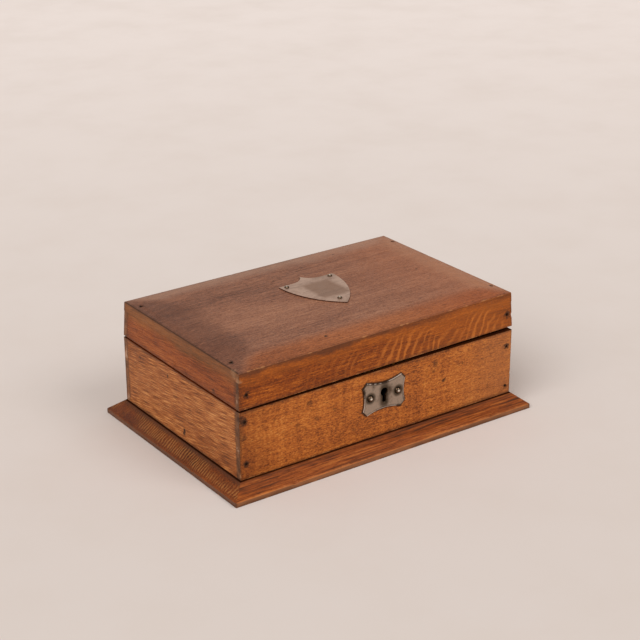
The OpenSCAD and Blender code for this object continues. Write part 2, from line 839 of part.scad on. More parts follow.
// The case: back plate, top plate and the rim between the back plate and the cap
module lock_case() {
    slot_x = staple_t / 2 + staple_room;
    color(brass) difference() {
        union() {
            span(
                [key_x - lock_w / 2, cavity_back, lock_foot],
                [key_x + lock_w / 2, inner_face, body_top]
            );
            span(
                [key_x - lock_w / 2, lock_front, lock_roof],
                [key_x + lock_w / 2, inner_face, body_top]
            );
            difference() {
                span(
                    [key_x - case_w / 2, cavity_front, lock_foot],
                    [key_x + case_w / 2, inner_face, body_top]
                );
                span(
                    [key_x - case_w / 2 + case_t, cavity_front - past, lock_foot + case_t],
                    [key_x + case_w / 2 - case_t, cavity_back, lock_roof]
                );
            }
        }
        at_staples() span(
            [-slot_x, cavity_front - cavity_mid, lock_roof - past],
            [slot_x, cavity_back - cavity_mid, body_top + past]
        );
        at_pegs() translate([0, 0, -past])
            cylinder(d = peg_d + 2 * shank_play, h = back_plate_t + 2 * past, $fn = 32);
        at_lock_screws() small_screw_hole(lock_screw_l);
        translate([key_x, inner_face + past, key_z]) rotate([90, 0, 0])
            cylinder(d = key_tip_d, h = back_plate_t + 2 * past, $fn = 32);
    }
}

module lock_cap() {
    color(brass) difference() {
        span(
            [key_x - case_w / 2, lock_front, lock_foot],
            [key_x + case_w / 2, cavity_front, lock_roof]
        );
        keyhole(lock_front - past, cavity_front + past);
        at_pegs() cylinder(d = peg_d + 2 * shank_play, h = lock_depth + past, $fn = 32);
    }
}

module lock_pegs() {
    color(iron) at_pegs() cylinder(d = peg_d, h = lock_depth, $fn = 32);
}

// The bolt: a bar with two hooks and a spring seat on top, two guide slots and the key's notch
module lock_bolt() {
    slot_r = peg_d / 2 + lock_play;
    color(brass) translate([0, cavity_mid + bolt_t / 2, 0]) rotate([90, 0, 0]) linear_extrude(bolt_t)
        difference() {
            union() {
                translate([bolt_x, bolt_foot]) square([bolt_l, bolt_h]);
                translate([spring_x - spring_r - spring_seat_out, bolt_foot])
                    square([2 * (spring_r + spring_seat_out), bolt_h + spring_seat_h]);
                for (s = [-1, 1]) {
                    hook_x = key_x + s * staple_pitch / 2 - hook_back;
                    translate([hook_x, bolt_foot]) square([hook_w, finger_top - bolt_foot]);
                    translate([hook_x, finger_foot]) square([hook_back - finger_tip, finger_h]);
                }
            }
            for (s = [-1, 1]) translate([key_x + s * peg_x, peg_z]) {
                circle(r = slot_r);
                translate([-bolt_travel, 0]) circle(r = slot_r);
                translate([-bolt_travel, -slot_r]) square([bolt_travel, 2 * slot_r]);
            }
            translate([key_x - talon_w / 2, bolt_foot - past]) square([talon_w, past + talon_h]);
        }
}

// The bow spring: a half ring that stands on its seat on the bolt, under the top plate
module bolt_spring() {
    color(brass) translate([spring_x, cavity_mid + spring_w / 2, spring_foot])
        rotate([90, 0, 0]) linear_extrude(spring_w) difference() {
            circle(r = spring_r);
            circle(r = spring_r - spring_t);
            translate([-spring_r - past, -spring_r - past]) square([2 * (spring_r + past), spring_r + past]);
        }
}

module lock_screws() {
    color(brass) at_lock_screws() small_screw(lock_screw_l);
}

module link_plate() {
    tenon_gap = shank_play;
    color(brass) difference() {
        span(
            [key_x - lock_w / 2, lock_front, link_foot],
            [key_x + lock_w / 2, inner_face, link_foot + link_t]
        );
        at_link_screws() small_screw_hole(link_screw_l);
        at_staples() span(
            [-staple_t / 2 - tenon_gap, -eye_w / 2 - tenon_gap, link_foot - past],
            [staple_t / 2 + tenon_gap, eye_w / 2 + tenon_gap, link_foot + link_t + past]
        );
    }
}

// The staples: an eye below the link plate and a tenon riveted into it
module link_staples() {
    color(brass) at_staples() {
        difference() {
            span([-staple_t / 2, -staple_w / 2, staple_foot], [staple_t / 2, staple_w / 2, link_foot]);
            span([-staple_t, -eye_w / 2, eye_foot], [staple_t, eye_w / 2, eye_top]);
        }
        span([-staple_t / 2, -eye_w / 2, link_foot - 0.01], [staple_t / 2, eye_w / 2, link_foot + link_t]);
    }
}

module link_screws() {
    color(brass) at_link_screws() small_screw(link_screw_l);
}

// One leaf of a hinge: s = -1 for the body's leaf, 1 for the lid's, which has the knuckles between
module hinge_leaf(h, s) {
    face = axis_z + s * lid_gap / 2;
    own = s < 0 ? [0, 2, 4] : [1, 3];
    other = s < 0 ? [1, 3] : [0, 2, 4];
    x0 = h - hinge_l / 2;
    color(brass) difference() {
        union() {
            difference() {
                span(
                    [x0, axis_y - leaf_reach, min(face, face + s * leaf_t)],
                    [x0 + hinge_l, axis_y, max(face, face + s * leaf_t)]
                );
                for (k = other) span(
                    [x0 + k * knuckle_step - knuckle_gap, axis_y - knuckle_d / 2 - knuckle_room, axis_z - knuckle_d],
                    [x0 + k * knuckle_step + knuckle_l + knuckle_gap, axis_y + knuckle_d, axis_z + knuckle_d]
                );
            }
            for (k = own) translate([x0 + k * knuckle_step, axis_y, axis_z])
                rotate([0, 90, 0]) cylinder(d = knuckle_d, h = knuckle_l);
        }
        translate([x0 - past, axis_y, axis_z]) rotate([0, 90, 0])
            cylinder(d = hinge_pin_d + 2 * pin_play, h = hinge_l + 2 * past);
        if (s < 0) at_body_leaf_screws() small_screw_hole(hinge_screw_l);
        if (s > 0) at_lid_leaf_screws() small_screw_hole(hinge_screw_l);
    }
}

module hinge_pin(h) {
    color(brass) translate([h - hinge_l / 2, axis_y, axis_z])
        rotate([0, 90, 0]) cylinder(d = hinge_pin_d, h = hinge_l);
}

module hinge_body_screws() {
    color(brass) at_body_leaf_screws() small_screw(hinge_screw_l);
}

module hinge_lid_screws() {
    color(brass) at_lid_leaf_screws() small_screw(hinge_screw_l);
}

base_board();
front_board();
back_board();
side_board(-1);  // left_side_board
side_board(1);  // right_side_board
body_corner_nails();
base_screws();
lid_top_board();
lid_front_rail();
lid_back_rail();
end_rail(-1);  // lid_left_rail
end_rail(1);  // lid_right_rail
lid_corner_nails();
lid_top_nails();
keyhole_plate();
keyhole_plate_pins();
shield_plate();
shield_pins();
lock_case();
lock_cap();
lock_pegs();
lock_bolt();
bolt_spring();
lock_screws();
link_plate();
link_staples();
link_screws();
hinge_leaf(-hinge_x, -1);  // left_hinge_body_leaf
hinge_leaf(-hinge_x, 1);  // left_hinge_lid_leaf
hinge_pin(-hinge_x);  // left_hinge_pin
hinge_leaf(hinge_x, -1);  // right_hinge_body_leaf
hinge_leaf(hinge_x, 1);  // right_hinge_lid_leaf
hinge_pin(hinge_x);  // right_hinge_pin
hinge_body_screws();
hinge_lid_screws();
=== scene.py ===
import json
import math

import bpy
from mathutils import Matrix, Vector


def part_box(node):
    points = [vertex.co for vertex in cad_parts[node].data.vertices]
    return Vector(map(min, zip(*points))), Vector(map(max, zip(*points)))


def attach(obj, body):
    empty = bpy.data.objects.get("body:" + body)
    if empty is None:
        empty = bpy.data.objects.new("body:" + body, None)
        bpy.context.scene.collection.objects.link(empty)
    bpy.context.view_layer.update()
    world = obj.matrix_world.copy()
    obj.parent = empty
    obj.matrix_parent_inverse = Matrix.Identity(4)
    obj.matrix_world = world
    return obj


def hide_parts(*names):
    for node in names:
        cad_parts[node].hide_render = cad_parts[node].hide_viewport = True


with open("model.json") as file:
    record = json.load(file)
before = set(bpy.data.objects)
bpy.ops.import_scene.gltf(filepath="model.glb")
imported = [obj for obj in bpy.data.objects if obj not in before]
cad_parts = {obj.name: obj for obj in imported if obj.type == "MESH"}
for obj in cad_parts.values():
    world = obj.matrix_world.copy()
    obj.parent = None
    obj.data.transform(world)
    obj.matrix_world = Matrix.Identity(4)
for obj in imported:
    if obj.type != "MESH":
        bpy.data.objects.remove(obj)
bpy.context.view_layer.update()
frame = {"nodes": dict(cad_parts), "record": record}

MM = 0.001
# How far a cutter passes a face, and the gap round metal that is let into wood
PAST = 1 * MM
LET_IN_GAP = 0.1 * MM


def box_of(node):
    """The lowest and the highest corner of a CAD node."""
    return [Vector(corner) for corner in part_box(node)]


def middle_of(low, high):
    return (low + high) / 2


# Places and sizes read from the fixed solids
front_low, front_high = box_of("front_board")
side_low, side_high = box_of("left_side_board")
base_low, base_high = box_of("base_board")
rail_low = box_of("lid_back_rail")[0]
case_low, case_high = box_of("lock_case")
cap_low, cap_high = box_of("lock_cap")
half_w = front_high.x
half_d = -front_low.y
board_t = side_high.x - side_low.x
lap_t = side_low.y - front_low.y
body_top = front_high.z
inner_face = front_high.y

# Lid shape, as in the solids: its twist, lean, pillow and board sizes
LID_TWIST = 2.1 * MM
LID_LEAN = 1.5 * MM
LID_H = 31 * MM
TOP_BOARD_T = 8.2 * MM
CROWN = 3.2 * MM
SLOPE_W = 30 * MM
lid_foot = rail_low.z
rail_head = lid_foot + LID_H - TOP_BOARD_T
lid_edge_top = lid_foot + LID_H
lid_low = Vector((-half_w, -half_d, lid_foot))
lid_high = Vector((half_w, half_d, lid_edge_top))
rail_lean = LID_LEAN * (LID_H - TOP_BOARD_T) / LID_H

# Base board, keyhole, its plate, the shield plate, the lock and the hinges
BASE_EDGE_H = 4 * MM
KEYHOLE_D = 7.2 * MM
KEYSLOT_W = 3.8 * MM
KEYSLOT_L = 9.2 * MM
KEY = Vector((0.9 * MM, 0, 53.6 * MM))
PLATE_WAIST = 3.3 * MM
PLATE_SIDE_WAIST = 1.5 * MM
PLATE_CLIP = 3.9 * MM
SHIELD_PROUD = 0.96 * MM
BACK_PLATE_T = 1.2 * MM
LEAF_T = 1.3 * MM

# Modelling sizes: roundings of wood and metal, the gap under the lid's top board, the rings of its pillow,
# the pits over nail heads, the room round the hinge knuckles, and how far out a pit's cutter starts
ARRIS = 0.7 * MM
JOINT_ARRIS = 0.2 * MM
BASE_ARRIS = 0.5 * MM
PLATE_ARRIS = 0.3 * MM
METAL_ARRIS = 0.12 * MM
TOP_BOARD_GAP = 0.06 * MM
PILLOW_RINGS = 15
PIT_DEPTH = 0.8 * MM
PIT_ROOM = 0.05 * MM
KNUCKLE_ROOM = 0.4 * MM
PIT_START = 2 * MM
# Edges blunter than these are shaded smooth on wood and left unbroken on metal
SMOOTH_ANGLE = math.radians(38)
BREAK_ANGLE = math.radians(50)


def colour(red, green, blue):
    """Linear colour of an 8-bit screen colour."""
    def linear(v):
        v /= 255
        return v / 12.92 if v <= 0.04045 else ((v + 0.055) / 1.055) ** 2.4
    return (linear(red), linear(green), linear(blue), 1)


# Tones of the wood from deep to pale, as stained and waxed, with a painted sheen in the lid top's greyer
# tones, and the tones of its dirt, wear and painted shade
FRONT_TONES = (colour(112, 54, 18), colour(164, 87, 32), colour(186, 104, 38), colour(210, 132, 60))
SIDE_TONES = (colour(100, 52, 22), colour(148, 80, 36), colour(174, 102, 50), colour(208, 142, 82))
BASE_TONES = (colour(60, 28, 10), colour(106, 48, 13), colour(136, 64, 17), colour(168, 94, 36))
RAIL_TONES = (colour(80, 32, 6), colour(121, 53, 9), colour(148, 71, 13), colour(190, 104, 30))
LID_END_TONES = (colour(90, 42, 14), colour(128, 60, 22), colour(148, 74, 30), colour(174, 100, 46))
# The lid top's greyer, purplish tones hold a painted sheen
TOP_SHEEN_TONES = (colour(92, 56, 42), colour(126, 80, 60), colour(144, 94, 70), colour(166, 114, 86))
END_GRAIN = colour(114, 74, 48)
BACK_END_GRAIN = colour(132, 84, 52)
TONE_STOPS = (0.18, 0.4, 0.58, 0.84)
PORE = colour(52, 25, 11)
GRIME = colour(62, 33, 18)
BARE = colour(184, 124, 76)
STAIN = colour(40, 19, 10)
# Painted shade on the body boards' heads, in the gap under the lid, and along their feet
HEAD_SHADE_TONE = colour(44, 15, 7)
SIDE_HEAD_SHADE_TONE = colour(92, 36, 13)
PALE = colour(196, 160, 124)
# How strongly the waxed wood mirrors
WAX = 0.3


class Recipe:
    """A material's node tree, built node by node: most methods return the socket of the node they add.
    place is where a point lies, and level is where it lay before the lid twisted."""

    def __init__(self, name):
        self.material = bpy.data.materials.new(name)
        self.material.use_nodes = True
        self.tree = self.material.node_tree
        self.shader = self.tree.nodes["Principled BSDF"]
        coordinates = self.tree.nodes.new("ShaderNodeTexCoord")
        self.place = coordinates.outputs["Object"]
        self.level = self.place

    def add(self, kind, **settings):
        node = self.tree.nodes.new(kind)
        for name, value in settings.items():
            setattr(node, name, value)
        return node

    def feed(self, socket, value):
        if isinstance(value, bpy.types.NodeSocket):
            self.tree.links.new(value, socket)
        else:
            socket.default_value = value

    def math(self, operation, a, b=0.0, c=0.0):
        node = self.add("ShaderNodeMath", operation=operation)
        for socket, value in zip(node.inputs, (a, b, c)):
            self.feed(socket, value)
        return node.outputs[0]

    def both(self, a, b):
        return self.math("MULTIPLY", a, b)

    def stray(self, value, wave, reach):
        """The value, moved up to half of reach either way by a wave between 0 and 1."""
        return self.math("MULTIPLY_ADD", self.math("SUBTRACT", wave, 0.5), reach, value)

    def stretch(self, value, low, high, out_low=0.0, out_high=1.0):
        """Takes low..high to out_low..out_high, with soft ends."""
        node = self.add("ShaderNodeMapRange", interpolation_type="SMOOTHSTEP")
        for name, v in zip(("Value", "From Min", "From Max", "To Min", "To Max"),
                           (value, low, high, out_low, out_high)):
            self.feed(node.inputs[name], v)
        return node.outputs[0]

    def move(self, vector, location=(0, 0, 0), turn=(0, 0, 0), scale=(1, 1, 1)):
        node = self.add("ShaderNodeMapping")
        self.feed(node.inputs["Vector"], vector)
        node.inputs["Location"].default_value = location
        node.inputs["Rotation"].default_value = turn
        node.inputs["Scale"].default_value = scale
        return node.outputs[0]

    def parts(self, vector):
        node = self.add("ShaderNodeSeparateXYZ")
        self.feed(node.inputs[0], vector)
        return tuple(node.outputs)

    def noise(self, vector, scale, detail=3.0, roughness=0.55, distortion=0.0):
        node = self.add("ShaderNodeTexNoise")
        for name, v in zip(("Vector", "Scale", "Detail", "Roughness", "Distortion"),
                           (vector, scale, detail, roughness, distortion)):
            self.feed(node.inputs[name], v)
        return node.outputs[0]

    def join(self, x, y, z):
        node = self.add("ShaderNodeCombineXYZ")
        for socket, value in zip(node.inputs, (x, y, z)):
            self.feed(socket, value)
        return node.outputs[0]

    def distance(self, vector, point):
        node = self.add("ShaderNodeVectorMath", operation="DISTANCE")
        self.feed(node.inputs[0], vector)
        node.inputs[1].default_value = point
        return node.outputs["Value"]

    def ramp(self, value, stops, colours):
        """A colour for each value: the stops lie between 0 and 1."""
        node = self.add("ShaderNodeValToRGB")
        self.feed(node.inputs[0], value)
        points = node.color_ramp.elements
        while len(points) < len(stops):
            points.new(0.5)
        for point, stop, tone in zip(points, stops, colours):
            point.position = stop
            point.color = tone
        return node.outputs[0]

    def mix(self, factor, a, b, blend="MIX"):
        node = self.add("ShaderNodeMix", data_type="RGBA", blend_type=blend)
        self.feed(node.inputs["Factor"], factor)
        self.feed(node.inputs[6], a)
        self.feed(node.inputs[7], b)
        return node.outputs[2]

    def bump(self, height, distance, strength, under=None):
        node = self.add("ShaderNodeBump")
        self.feed(node.inputs["Height"], height)
        node.inputs["Distance"].default_value = distance
        node.inputs["Strength"].default_value = strength
        if under is not None:
            self.feed(node.inputs["Normal"], under)
        return node.outputs[0]


# Layers of the wood's pattern: how fast each changes along and across the grain, per metre, its fineness
# and its tilt against the grain in degrees
LAYERS = {
    "drift": ((5, 24, 24), 3, 0),
    "streak": ((11, 230, 230), 3, 0),
    "fibre": ((70, 1000, 1000), 3, 0),
    "speck": ((520, 980, 980), 3, 0),
    "dash": ((210, 900, 900), 3, 0),
    "slant": ((56, 1700, 1700), 2, -7.5),
    "band": ((120, 9, 9), 3, 0),
    "ring": ((14, 620, 70), 3, 0),
}


def untwisted(r):
    """Coordinates on the lid as it was before it twisted."""
    x, y, z = r.parts(r.place)
    along = r.math("MULTIPLY_ADD", x, 0.5 / half_w, 0.5)
    forward = r.math("MULTIPLY_ADD", y, -0.5 / half_d, 0.5)
    lift = r.both(r.both(along, forward), LID_TWIST)
    return r.join(x, y, r.math("SUBTRACT", z, lift))


def depths_in(r, low, high, lean):
    """How deep a point lies below each pair of faces of the board from low to high. With lean, its upright
    faces lean in as the lid's do."""
    place = r.parts(r.level)
    depths = []
    for value, centre, reach in zip(place, middle_of(low, high), (high - low) / 2):
        away = r.math("ABSOLUTE", r.math("SUBTRACT", value, centre))
        depths.append(r.math("SUBTRACT", reach, away))
    if lean:
        leaned = r.both(r.math("SUBTRACT", place[2], lid_foot), LID_LEAN / LID_H)
        for k in (0, 1):
            depths[k] = r.math("SUBTRACT", depths[k], leaned)
    return depths


def figure(r, grain, layers):
    """The tone of the wood, about 0.5 on average, from layers of noise that run with the grain."""
    tone = 0.5 - sum(layers.values()) / 2
    for layer, amount in layers.items():
        scale, fineness, tilt = LAYERS[layer]
        tilted = r.move(grain, turn=(0, math.radians(tilt), 0))
        wave = r.noise(r.move(tilted, scale=scale), 1.0, fineness, 0.62, 0.15)
        tone = r.math("MULTIPLY_ADD", wave, amount, tone)
    return tone


def grain_of(r, axis, seed):
    """Coordinates that run with the grain. Boards of one seed share one pattern."""
    turn = {"X": (0, 0, 0), "Y": (0, 0, math.radians(-90))}[axis]
    return r.move(r.level, (seed * 0.37, seed * 0.11, seed * 0.23), turn)


def oak(name, low, high, axis, seed, tones, layers, end=None, lid=False, zones=(), marks=(),
        pores=0.45, wear=0.5, wear_front=False, grime=0.5, rough=0.5, painted_head_shade=None, dress=None):
    """Old stained oak, in tones from deep to pale: layered figure, dark pores, grime in the joints, worn
    arrises, a duller end grain, painted shade on its head and foot, zones that shade a side of the board,
    and marks. dress adds what only one board has."""
    r = Recipe(name)
    r.shader.inputs["Specular IOR Level"].default_value = WAX
    if lid:
        r.level = untwisted(r)
    r.tones = tones
    r.grain = grain_of(r, axis, seed)
    r.rub = r.noise(r.level, 85.0, 5.0, 0.7)
    r.cloud = r.noise(r.level, 24.0, 4.0, 0.6)
    tone = figure(r, r.grain, layers)
    skin = r.ramp(tone, TONE_STOPS, tones)
    for across, start, stop, strength, tint, blend in zones:
        here = r.stray(r.parts(r.level)["XYZ".index(across)], r.cloud, 50 * MM)
        share = r.stretch(here, start * MM, stop * MM, 0.0, strength)
        skin = r.mix(share, skin, tint, blend)
    pore = r.stretch(r.noise(r.move(r.grain, scale=(230, 1900, 1900)), 1.0, 2.0, 0.5), 0.42, 0.3)
    skin = r.mix(r.both(pore, pores), skin, PORE)
    depths = depths_in(r, low, high, lid)
    if end is not None:
        cut_face = r.math("LESS_THAN", depths["XY".index(axis)], 0.12 * MM)
        speckled = r.mix(r.stretch(r.rub, 0.4, 0.5), r.mix(0.6, end, colour(30, 18, 12)), end)
        speckled = r.mix(r.stretch(r.rub, 0.53, 0.64), speckled, r.mix(0.5, end, colour(210, 176, 150)))
        skin = r.mix(r.both(cut_face, 0.9), skin, speckled)
    if dress is not None:
        skin = dress(r, skin)
    least = r.math("MINIMUM", depths[0], depths[1])
    most = r.math("MAXIMUM", depths[0], depths[1])
    arris = r.math("MAXIMUM", least, r.math("MINIMUM", most, depths[2]))
    dirt_reach = r.stretch(r.cloud, 0.3, 0.75, 0.8 * MM, 6 * MM)
    dirt = r.stretch(r.math("DIVIDE", arris, dirt_reach), 0.0, 1.0, grime, 0.0)
    skin = r.mix(dirt, skin, GRIME)
    rub_reach = r.stretch(r.rub, 0.46, 0.7, 0.01 * MM, 1.5 * MM)
    bare = r.stretch(r.math("DIVIDE", arris, rub_reach), 0.5, 1.2, wear, 0.0)
    if wear_front:
        at_front = r.math("LESS_THAN", r.parts(r.level)[1], -half_d + 3 * MM)
        bare = r.both(bare, at_front)
        dark_line = r.stretch(arris, 0.3 * MM, 1.1 * MM, 0.7, 0.0)
        dark_line = r.both(dark_line, r.math("SUBTRACT", 1.0, at_front))
        skin = r.mix(dark_line, skin, colour(50, 28, 17))
    skin = r.mix(bare, skin, BARE)
    # Painted shade on the head, in the gap under the lid, and along the foot, with its reflection taken
    # away
    if painted_head_shade is not None:
        skin = r.mix(r.stretch(depths[2], 0.0, 0.4 * MM, 0.9, 0.0), skin, painted_head_shade)
        r.feed(r.shader.inputs["Specular IOR Level"], r.stretch(depths[2], 0.0, 0.5 * MM, 0.0, WAX))
    ragged = r.math("SUBTRACT", r.math("ADD", r.rub, r.noise(r.level, 450.0, 2.0)), 1.0)
    for spot, radius, strength, *tint in marks:
        away = r.distance(r.place, Vector(spot) * MM)
        away = r.math("MULTIPLY_ADD", ragged, 1.5 * radius * MM, away)
        stain = tint[0] if tint else STAIN
        skin = r.mix(r.stretch(away, 0.3 * radius * MM, radius * MM, strength, 0.0), skin, stain)
    r.feed(r.shader.inputs["Base Color"], skin)
    r.feed(r.shader.inputs["Roughness"], r.math("MULTIPLY_ADD", r.rub, 0.3, rough - 0.15))
    r.shader.inputs["Specular Tint"].default_value = (1, 0.86, 0.7, 1)
    waves = r.bump(r.noise(r.level, 13.0, 2.0), 1.0 * MM, 0.5)
    height = r.math("SUBTRACT", r.both(tone, 0.7), pore)
    r.feed(r.shader.inputs["Normal"], r.bump(height, 0.12 * MM, 0.8, waves))
    return r.material


def inside_keyhole_plate(r):
    """How far a place lies inside the keyhole plate's outline, whose edges curve in and whose corners are
    clipped."""
    low, high = box_of("keyhole_plate")
    middle = middle_of(low, high)
    half_width = (high.x - low.x) / 2
    half_height = (high.z - low.z) / 2
    x, _, z = r.parts(r.place)
    x = r.math("ABSOLUTE", r.math("SUBTRACT", x, middle.x))
    z = r.math("ABSOLUTE", r.math("SUBTRACT", z, middle.z))
    across = r.math("POWER", r.both(x, 1 / half_width), 2)
    up = r.math("POWER", r.both(z, 1 / half_height), 2)
    long_edge = r.math("MULTIPLY_ADD", across, PLATE_WAIST * 1.4, half_height - PLATE_WAIST)
    short_edge = r.math("MULTIPLY_ADD", up, PLATE_SIDE_WAIST * 2, half_width - PLATE_SIDE_WAIST)
    clip = r.math("SUBTRACT", half_width + half_height - PLATE_CLIP, r.math("ADD", x, z))
    inside = r.math("MINIMUM", r.math("SUBTRACT", long_edge, z), r.math("SUBTRACT", short_edge, x))
    return r.math("MINIMUM", inside, clip)


def dress_front(r, skin):
    """The front board's own looks: dirt and painted shadow round the keyhole plate, and painted shade
    that blackens the hole behind it.
    """
    inside = inside_keyhole_plate(r)
    # Dirt and painted shadow in a ragged band round the keyhole plate
    rim = r.stray(inside, r.rub, 2 * MM)
    skin = r.mix(r.stretch(rim, -2.1 * MM, -0.3 * MM, 0.0, 0.9), skin, colour(38, 20, 11))
    # Painted shade: the keyhole's walls behind the front face are near black
    deep = r.math("GREATER_THAN", r.parts(r.level)[1], front_low.y + 0.3 * MM)
    return r.mix(r.both(r.math("GREATER_THAN", inside, 0), deep), skin, colour(5, 4, 3))


def end_bevel_skin(r, past_end):
    """End grain on the base board's end bevels: a comb of pale teeth in the middle, dark by the body."""
    tooth = 3 * MM
    across = r.stray(r.parts(r.level)[1], r.noise(r.level, 60.0, 3.0), 8 * MM)
    teeth = r.math("SINE", r.both(across, 2 * math.pi / tooth))
    band = r.both(r.stretch(past_end, 1 * MM, 4 * MM), r.stretch(past_end, 12.5 * MM, 9.5 * MM))
    comb = r.both(r.stretch(teeth, -0.4, 0.9), r.both(band, r.stretch(r.cloud, 0.38, 0.58)))
    comb = r.both(comb, r.stretch(r.noise(r.level, 420.0, 2.0), 0.3, 0.55, 0.6, 1.0))
    skin = r.ramp(figure(r, r.grain, {"drift": 0.9, "speck": 1.4}), TONE_STOPS, r.tones)
    skin = r.mix(1.0, skin, colour(206, 192, 182), "MULTIPLY")
    skin = r.mix(r.both(comb, 0.8), skin, colour(162, 108, 56))
    return r.mix(r.stretch(past_end, 5 * MM, 1 * MM, 0.0, 0.5), skin, colour(62, 42, 28))


def dress_base(r, skin):
    """The base board's own looks: end grain on its end bevels, dirt beside the body, painted shadow under
    the body and along its foot, a worn lower arris, and an upright edge greyed by wear and darkened by
    painted shade."""
    x, y, z = r.parts(r.level)
    past_end = r.math("SUBTRACT", r.math("ABSOLUTE", x), half_w)
    past_side = r.math("SUBTRACT", r.math("ABSOLUTE", y), half_d)
    end_bevel = r.math("GREATER_THAN", past_end, past_side)
    end_bevel = r.both(end_bevel, r.math("GREATER_THAN", past_end, 0))
    skin = r.mix(end_bevel, skin, end_bevel_skin(r, past_end))
    beside = r.math("MAXIMUM", past_end, past_side)
    dirt = r.stretch(beside, 1 * MM, 5 * MM, 0.3, 0.0)
    dirt = r.both(dirt, r.math("GREATER_THAN", beside, -board_t))
    skin = r.mix(dirt, skin, colour(70, 36, 18))
    # Painted shadow under the body and in a thin line along its foot, with no reflection there
    joint_shadow = r.stretch(beside, 0.5 * MM, 1.5 * MM, 0.95, 0.0)
    joint_shadow = r.both(joint_shadow, r.stretch(beside, -board_t - 2.5 * MM, -board_t))
    skin = r.mix(joint_shadow, skin, colour(30, 12, 6))
    r.feed(r.shader.inputs["Specular IOR Level"], r.stretch(joint_shadow, 0.0, 0.6, WAX, 0.0))
    reach = base_high.x - half_w
    worn = r.stretch(r.stray(beside, r.rub, 4 * MM), reach - 1.6 * MM, reach, 0, 0.7)
    worn = r.both(worn, r.math("MULTIPLY_ADD", end_bevel, -0.8, 1.0))
    skin = r.mix(worn, skin, colour(186, 112, 58))
    # The upright edge greyed: partly wear, partly painted shade
    edge = r.stretch(beside, reach - 0.5 * MM, reach - 0.1 * MM)
    edge = r.both(edge, r.math("LESS_THAN", z, BASE_EDGE_H))
    return r.mix(edge, skin, r.mix(0.5, skin, colour(92, 72, 58)))


def lid_front_skin(r):
    """The lid's front, one pattern over the rail and the top board's edge: long grain above, and bright
    curved strokes below that lean to the right."""
    stroke = 8.4 * MM
    x, _, z = r.parts(r.level)
    up = r.math("SUBTRACT", z, lid_foot)
    layers = {"drift": 0.9, "streak": 0.6, "fibre": 1.1, "speck": 0.9}
    skin = r.ramp(figure(r, grain_of(r, "X", 6), layers), TONE_STOPS, RAIL_TONES)
    lean = r.both(up, r.math("MULTIPLY_ADD", up, 14, 0.3))
    sway = r.noise(r.move(r.level, scale=(30, 10, 22)), 1.0, 3.0)
    across = r.stray(r.math("SUBTRACT", x, lean), sway, 30 * MM)
    wave = r.math("SINE", r.both(across, 2 * math.pi / stroke))
    patches = r.stretch(r.noise(r.level, 34.0, 3.0), 0.36, 0.6)
    patches = r.both(patches, r.stretch(r.rub, 0.3, 0.6, 0.5, 1.0))
    where = r.both(r.stretch(x, -90 * MM, 50 * MM, 0.12, 1.0), r.stretch(up, 27 * MM, 16 * MM))
    where = r.both(where, patches)
    skin = r.mix(r.both(where, r.stretch(wave, 0.0, 1.0, 0.0, 0.75)), skin, colour(202, 116, 44))
    skin = r.mix(r.both(where, r.stretch(wave, 0.1, -0.9, 0.0, 0.55)), skin, colour(112, 52, 17))
    skin = r.mix(r.stretch(x, 0, 120 * MM, 0.0, 0.3), skin, colour(188, 102, 32))
    height = r.stray(up, r.cloud, 16 * MM)
    golden = r.both(r.stretch(height, 17 * MM, 22 * MM), r.stretch(height, 29 * MM, 25 * MM))
    skin = r.mix(r.both(golden, 0.3), skin, colour(178, 96, 30))
    shade = r.both(r.stretch(height, 24 * MM, 28.5 * MM), r.stretch(x, 90 * MM, -20 * MM, 0.25, 0.8))
    return r.mix(shade, skin, colour(92, 50, 28))


def lid_end_skin(r):
    """The lid's ends, one pattern over the rail and the top board's edge, duller towards the top."""
    layers = {"drift": 0.9, "streak": 0.5, "fibre": 0.8, "slant": 1.2, "speck": 0.5}
    skin = r.ramp(figure(r, grain_of(r, "Y", 7), layers), TONE_STOPS, LID_END_TONES)
    height = r.stray(r.math("SUBTRACT", r.parts(r.level)[2], lid_foot), r.cloud, 18 * MM)
    return r.mix(r.stretch(height, 15 * MM, 26 * MM, 0.0, 0.5), skin, colour(104, 74, 40))


def dress_lid_front(r, skin):
    """The lid's front pattern on the front face of its rail, and none on its ends."""
    depths = depths_in(r, lid_low, lid_high, True)
    return r.mix(r.stretch(depths[1], 0.9 * MM, 0.2 * MM), skin, lid_front_skin(r))


def dress_lid_end(r, skin):
    """The lid ends' pattern, all over a side rail."""
    return lid_end_skin(r)


def dress_lid_top(r, skin):
    """The lid top's own looks: painted light and shade on its four slopes, and its edges go on with the
    rails' patterns.
    """
    x, y, z = r.parts(r.level)
    to_left = r.stray(r.math("ADD", x, half_w), r.cloud, 26 * MM)
    to_right = r.math("SUBTRACT", half_w, x)
    to_front = r.math("ADD", y, half_d)
    to_back = r.stray(r.math("SUBTRACT", half_d, y), r.cloud, 26 * MM)
    nearer_end = r.math("MINIMUM", to_left, to_right)
    nearer_side = r.math("MINIMUM", to_front, to_back)
    on_top = r.math("GREATER_THAN", z, rail_head + 3 * MM)
    # Painted light and shade on the slopes: the left darker, the front warmer with less painted sheen, the
    # back paler with painted sheen, the right lighter
    slopes = (
        (to_left, nearer_side, 46, 0.7, "MULTIPLY", colour(184, 170, 168)),
        (to_front, nearer_end, 30, 0.8, "MULTIPLY", colour(255, 212, 152)),
        (to_back, nearer_end, 30, 0.3, "MIX", colour(176, 140, 118)),
        (to_right, nearer_side, 34, 0.35, "MIX", colour(180, 126, 92)),
    )
    for distance, other, width, strength, blend, tint in slopes:
        inside = r.stretch(distance, width * MM, 0.45 * width * MM, 0.0, strength)
        own = r.stretch(r.math("SUBTRACT", other, distance), -8 * MM, 12 * MM)
        skin = r.mix(r.both(inside, r.both(own, on_top)), skin, tint, blend)
    depths = depths_in(r, lid_low, lid_high, True)
    skin = r.mix(r.math("LESS_THAN", depths[1], 0.1 * MM), skin, lid_front_skin(r))
    return r.mix(r.math("LESS_THAN", depths[0], 0.1 * MM), skin, lid_end_skin(r))


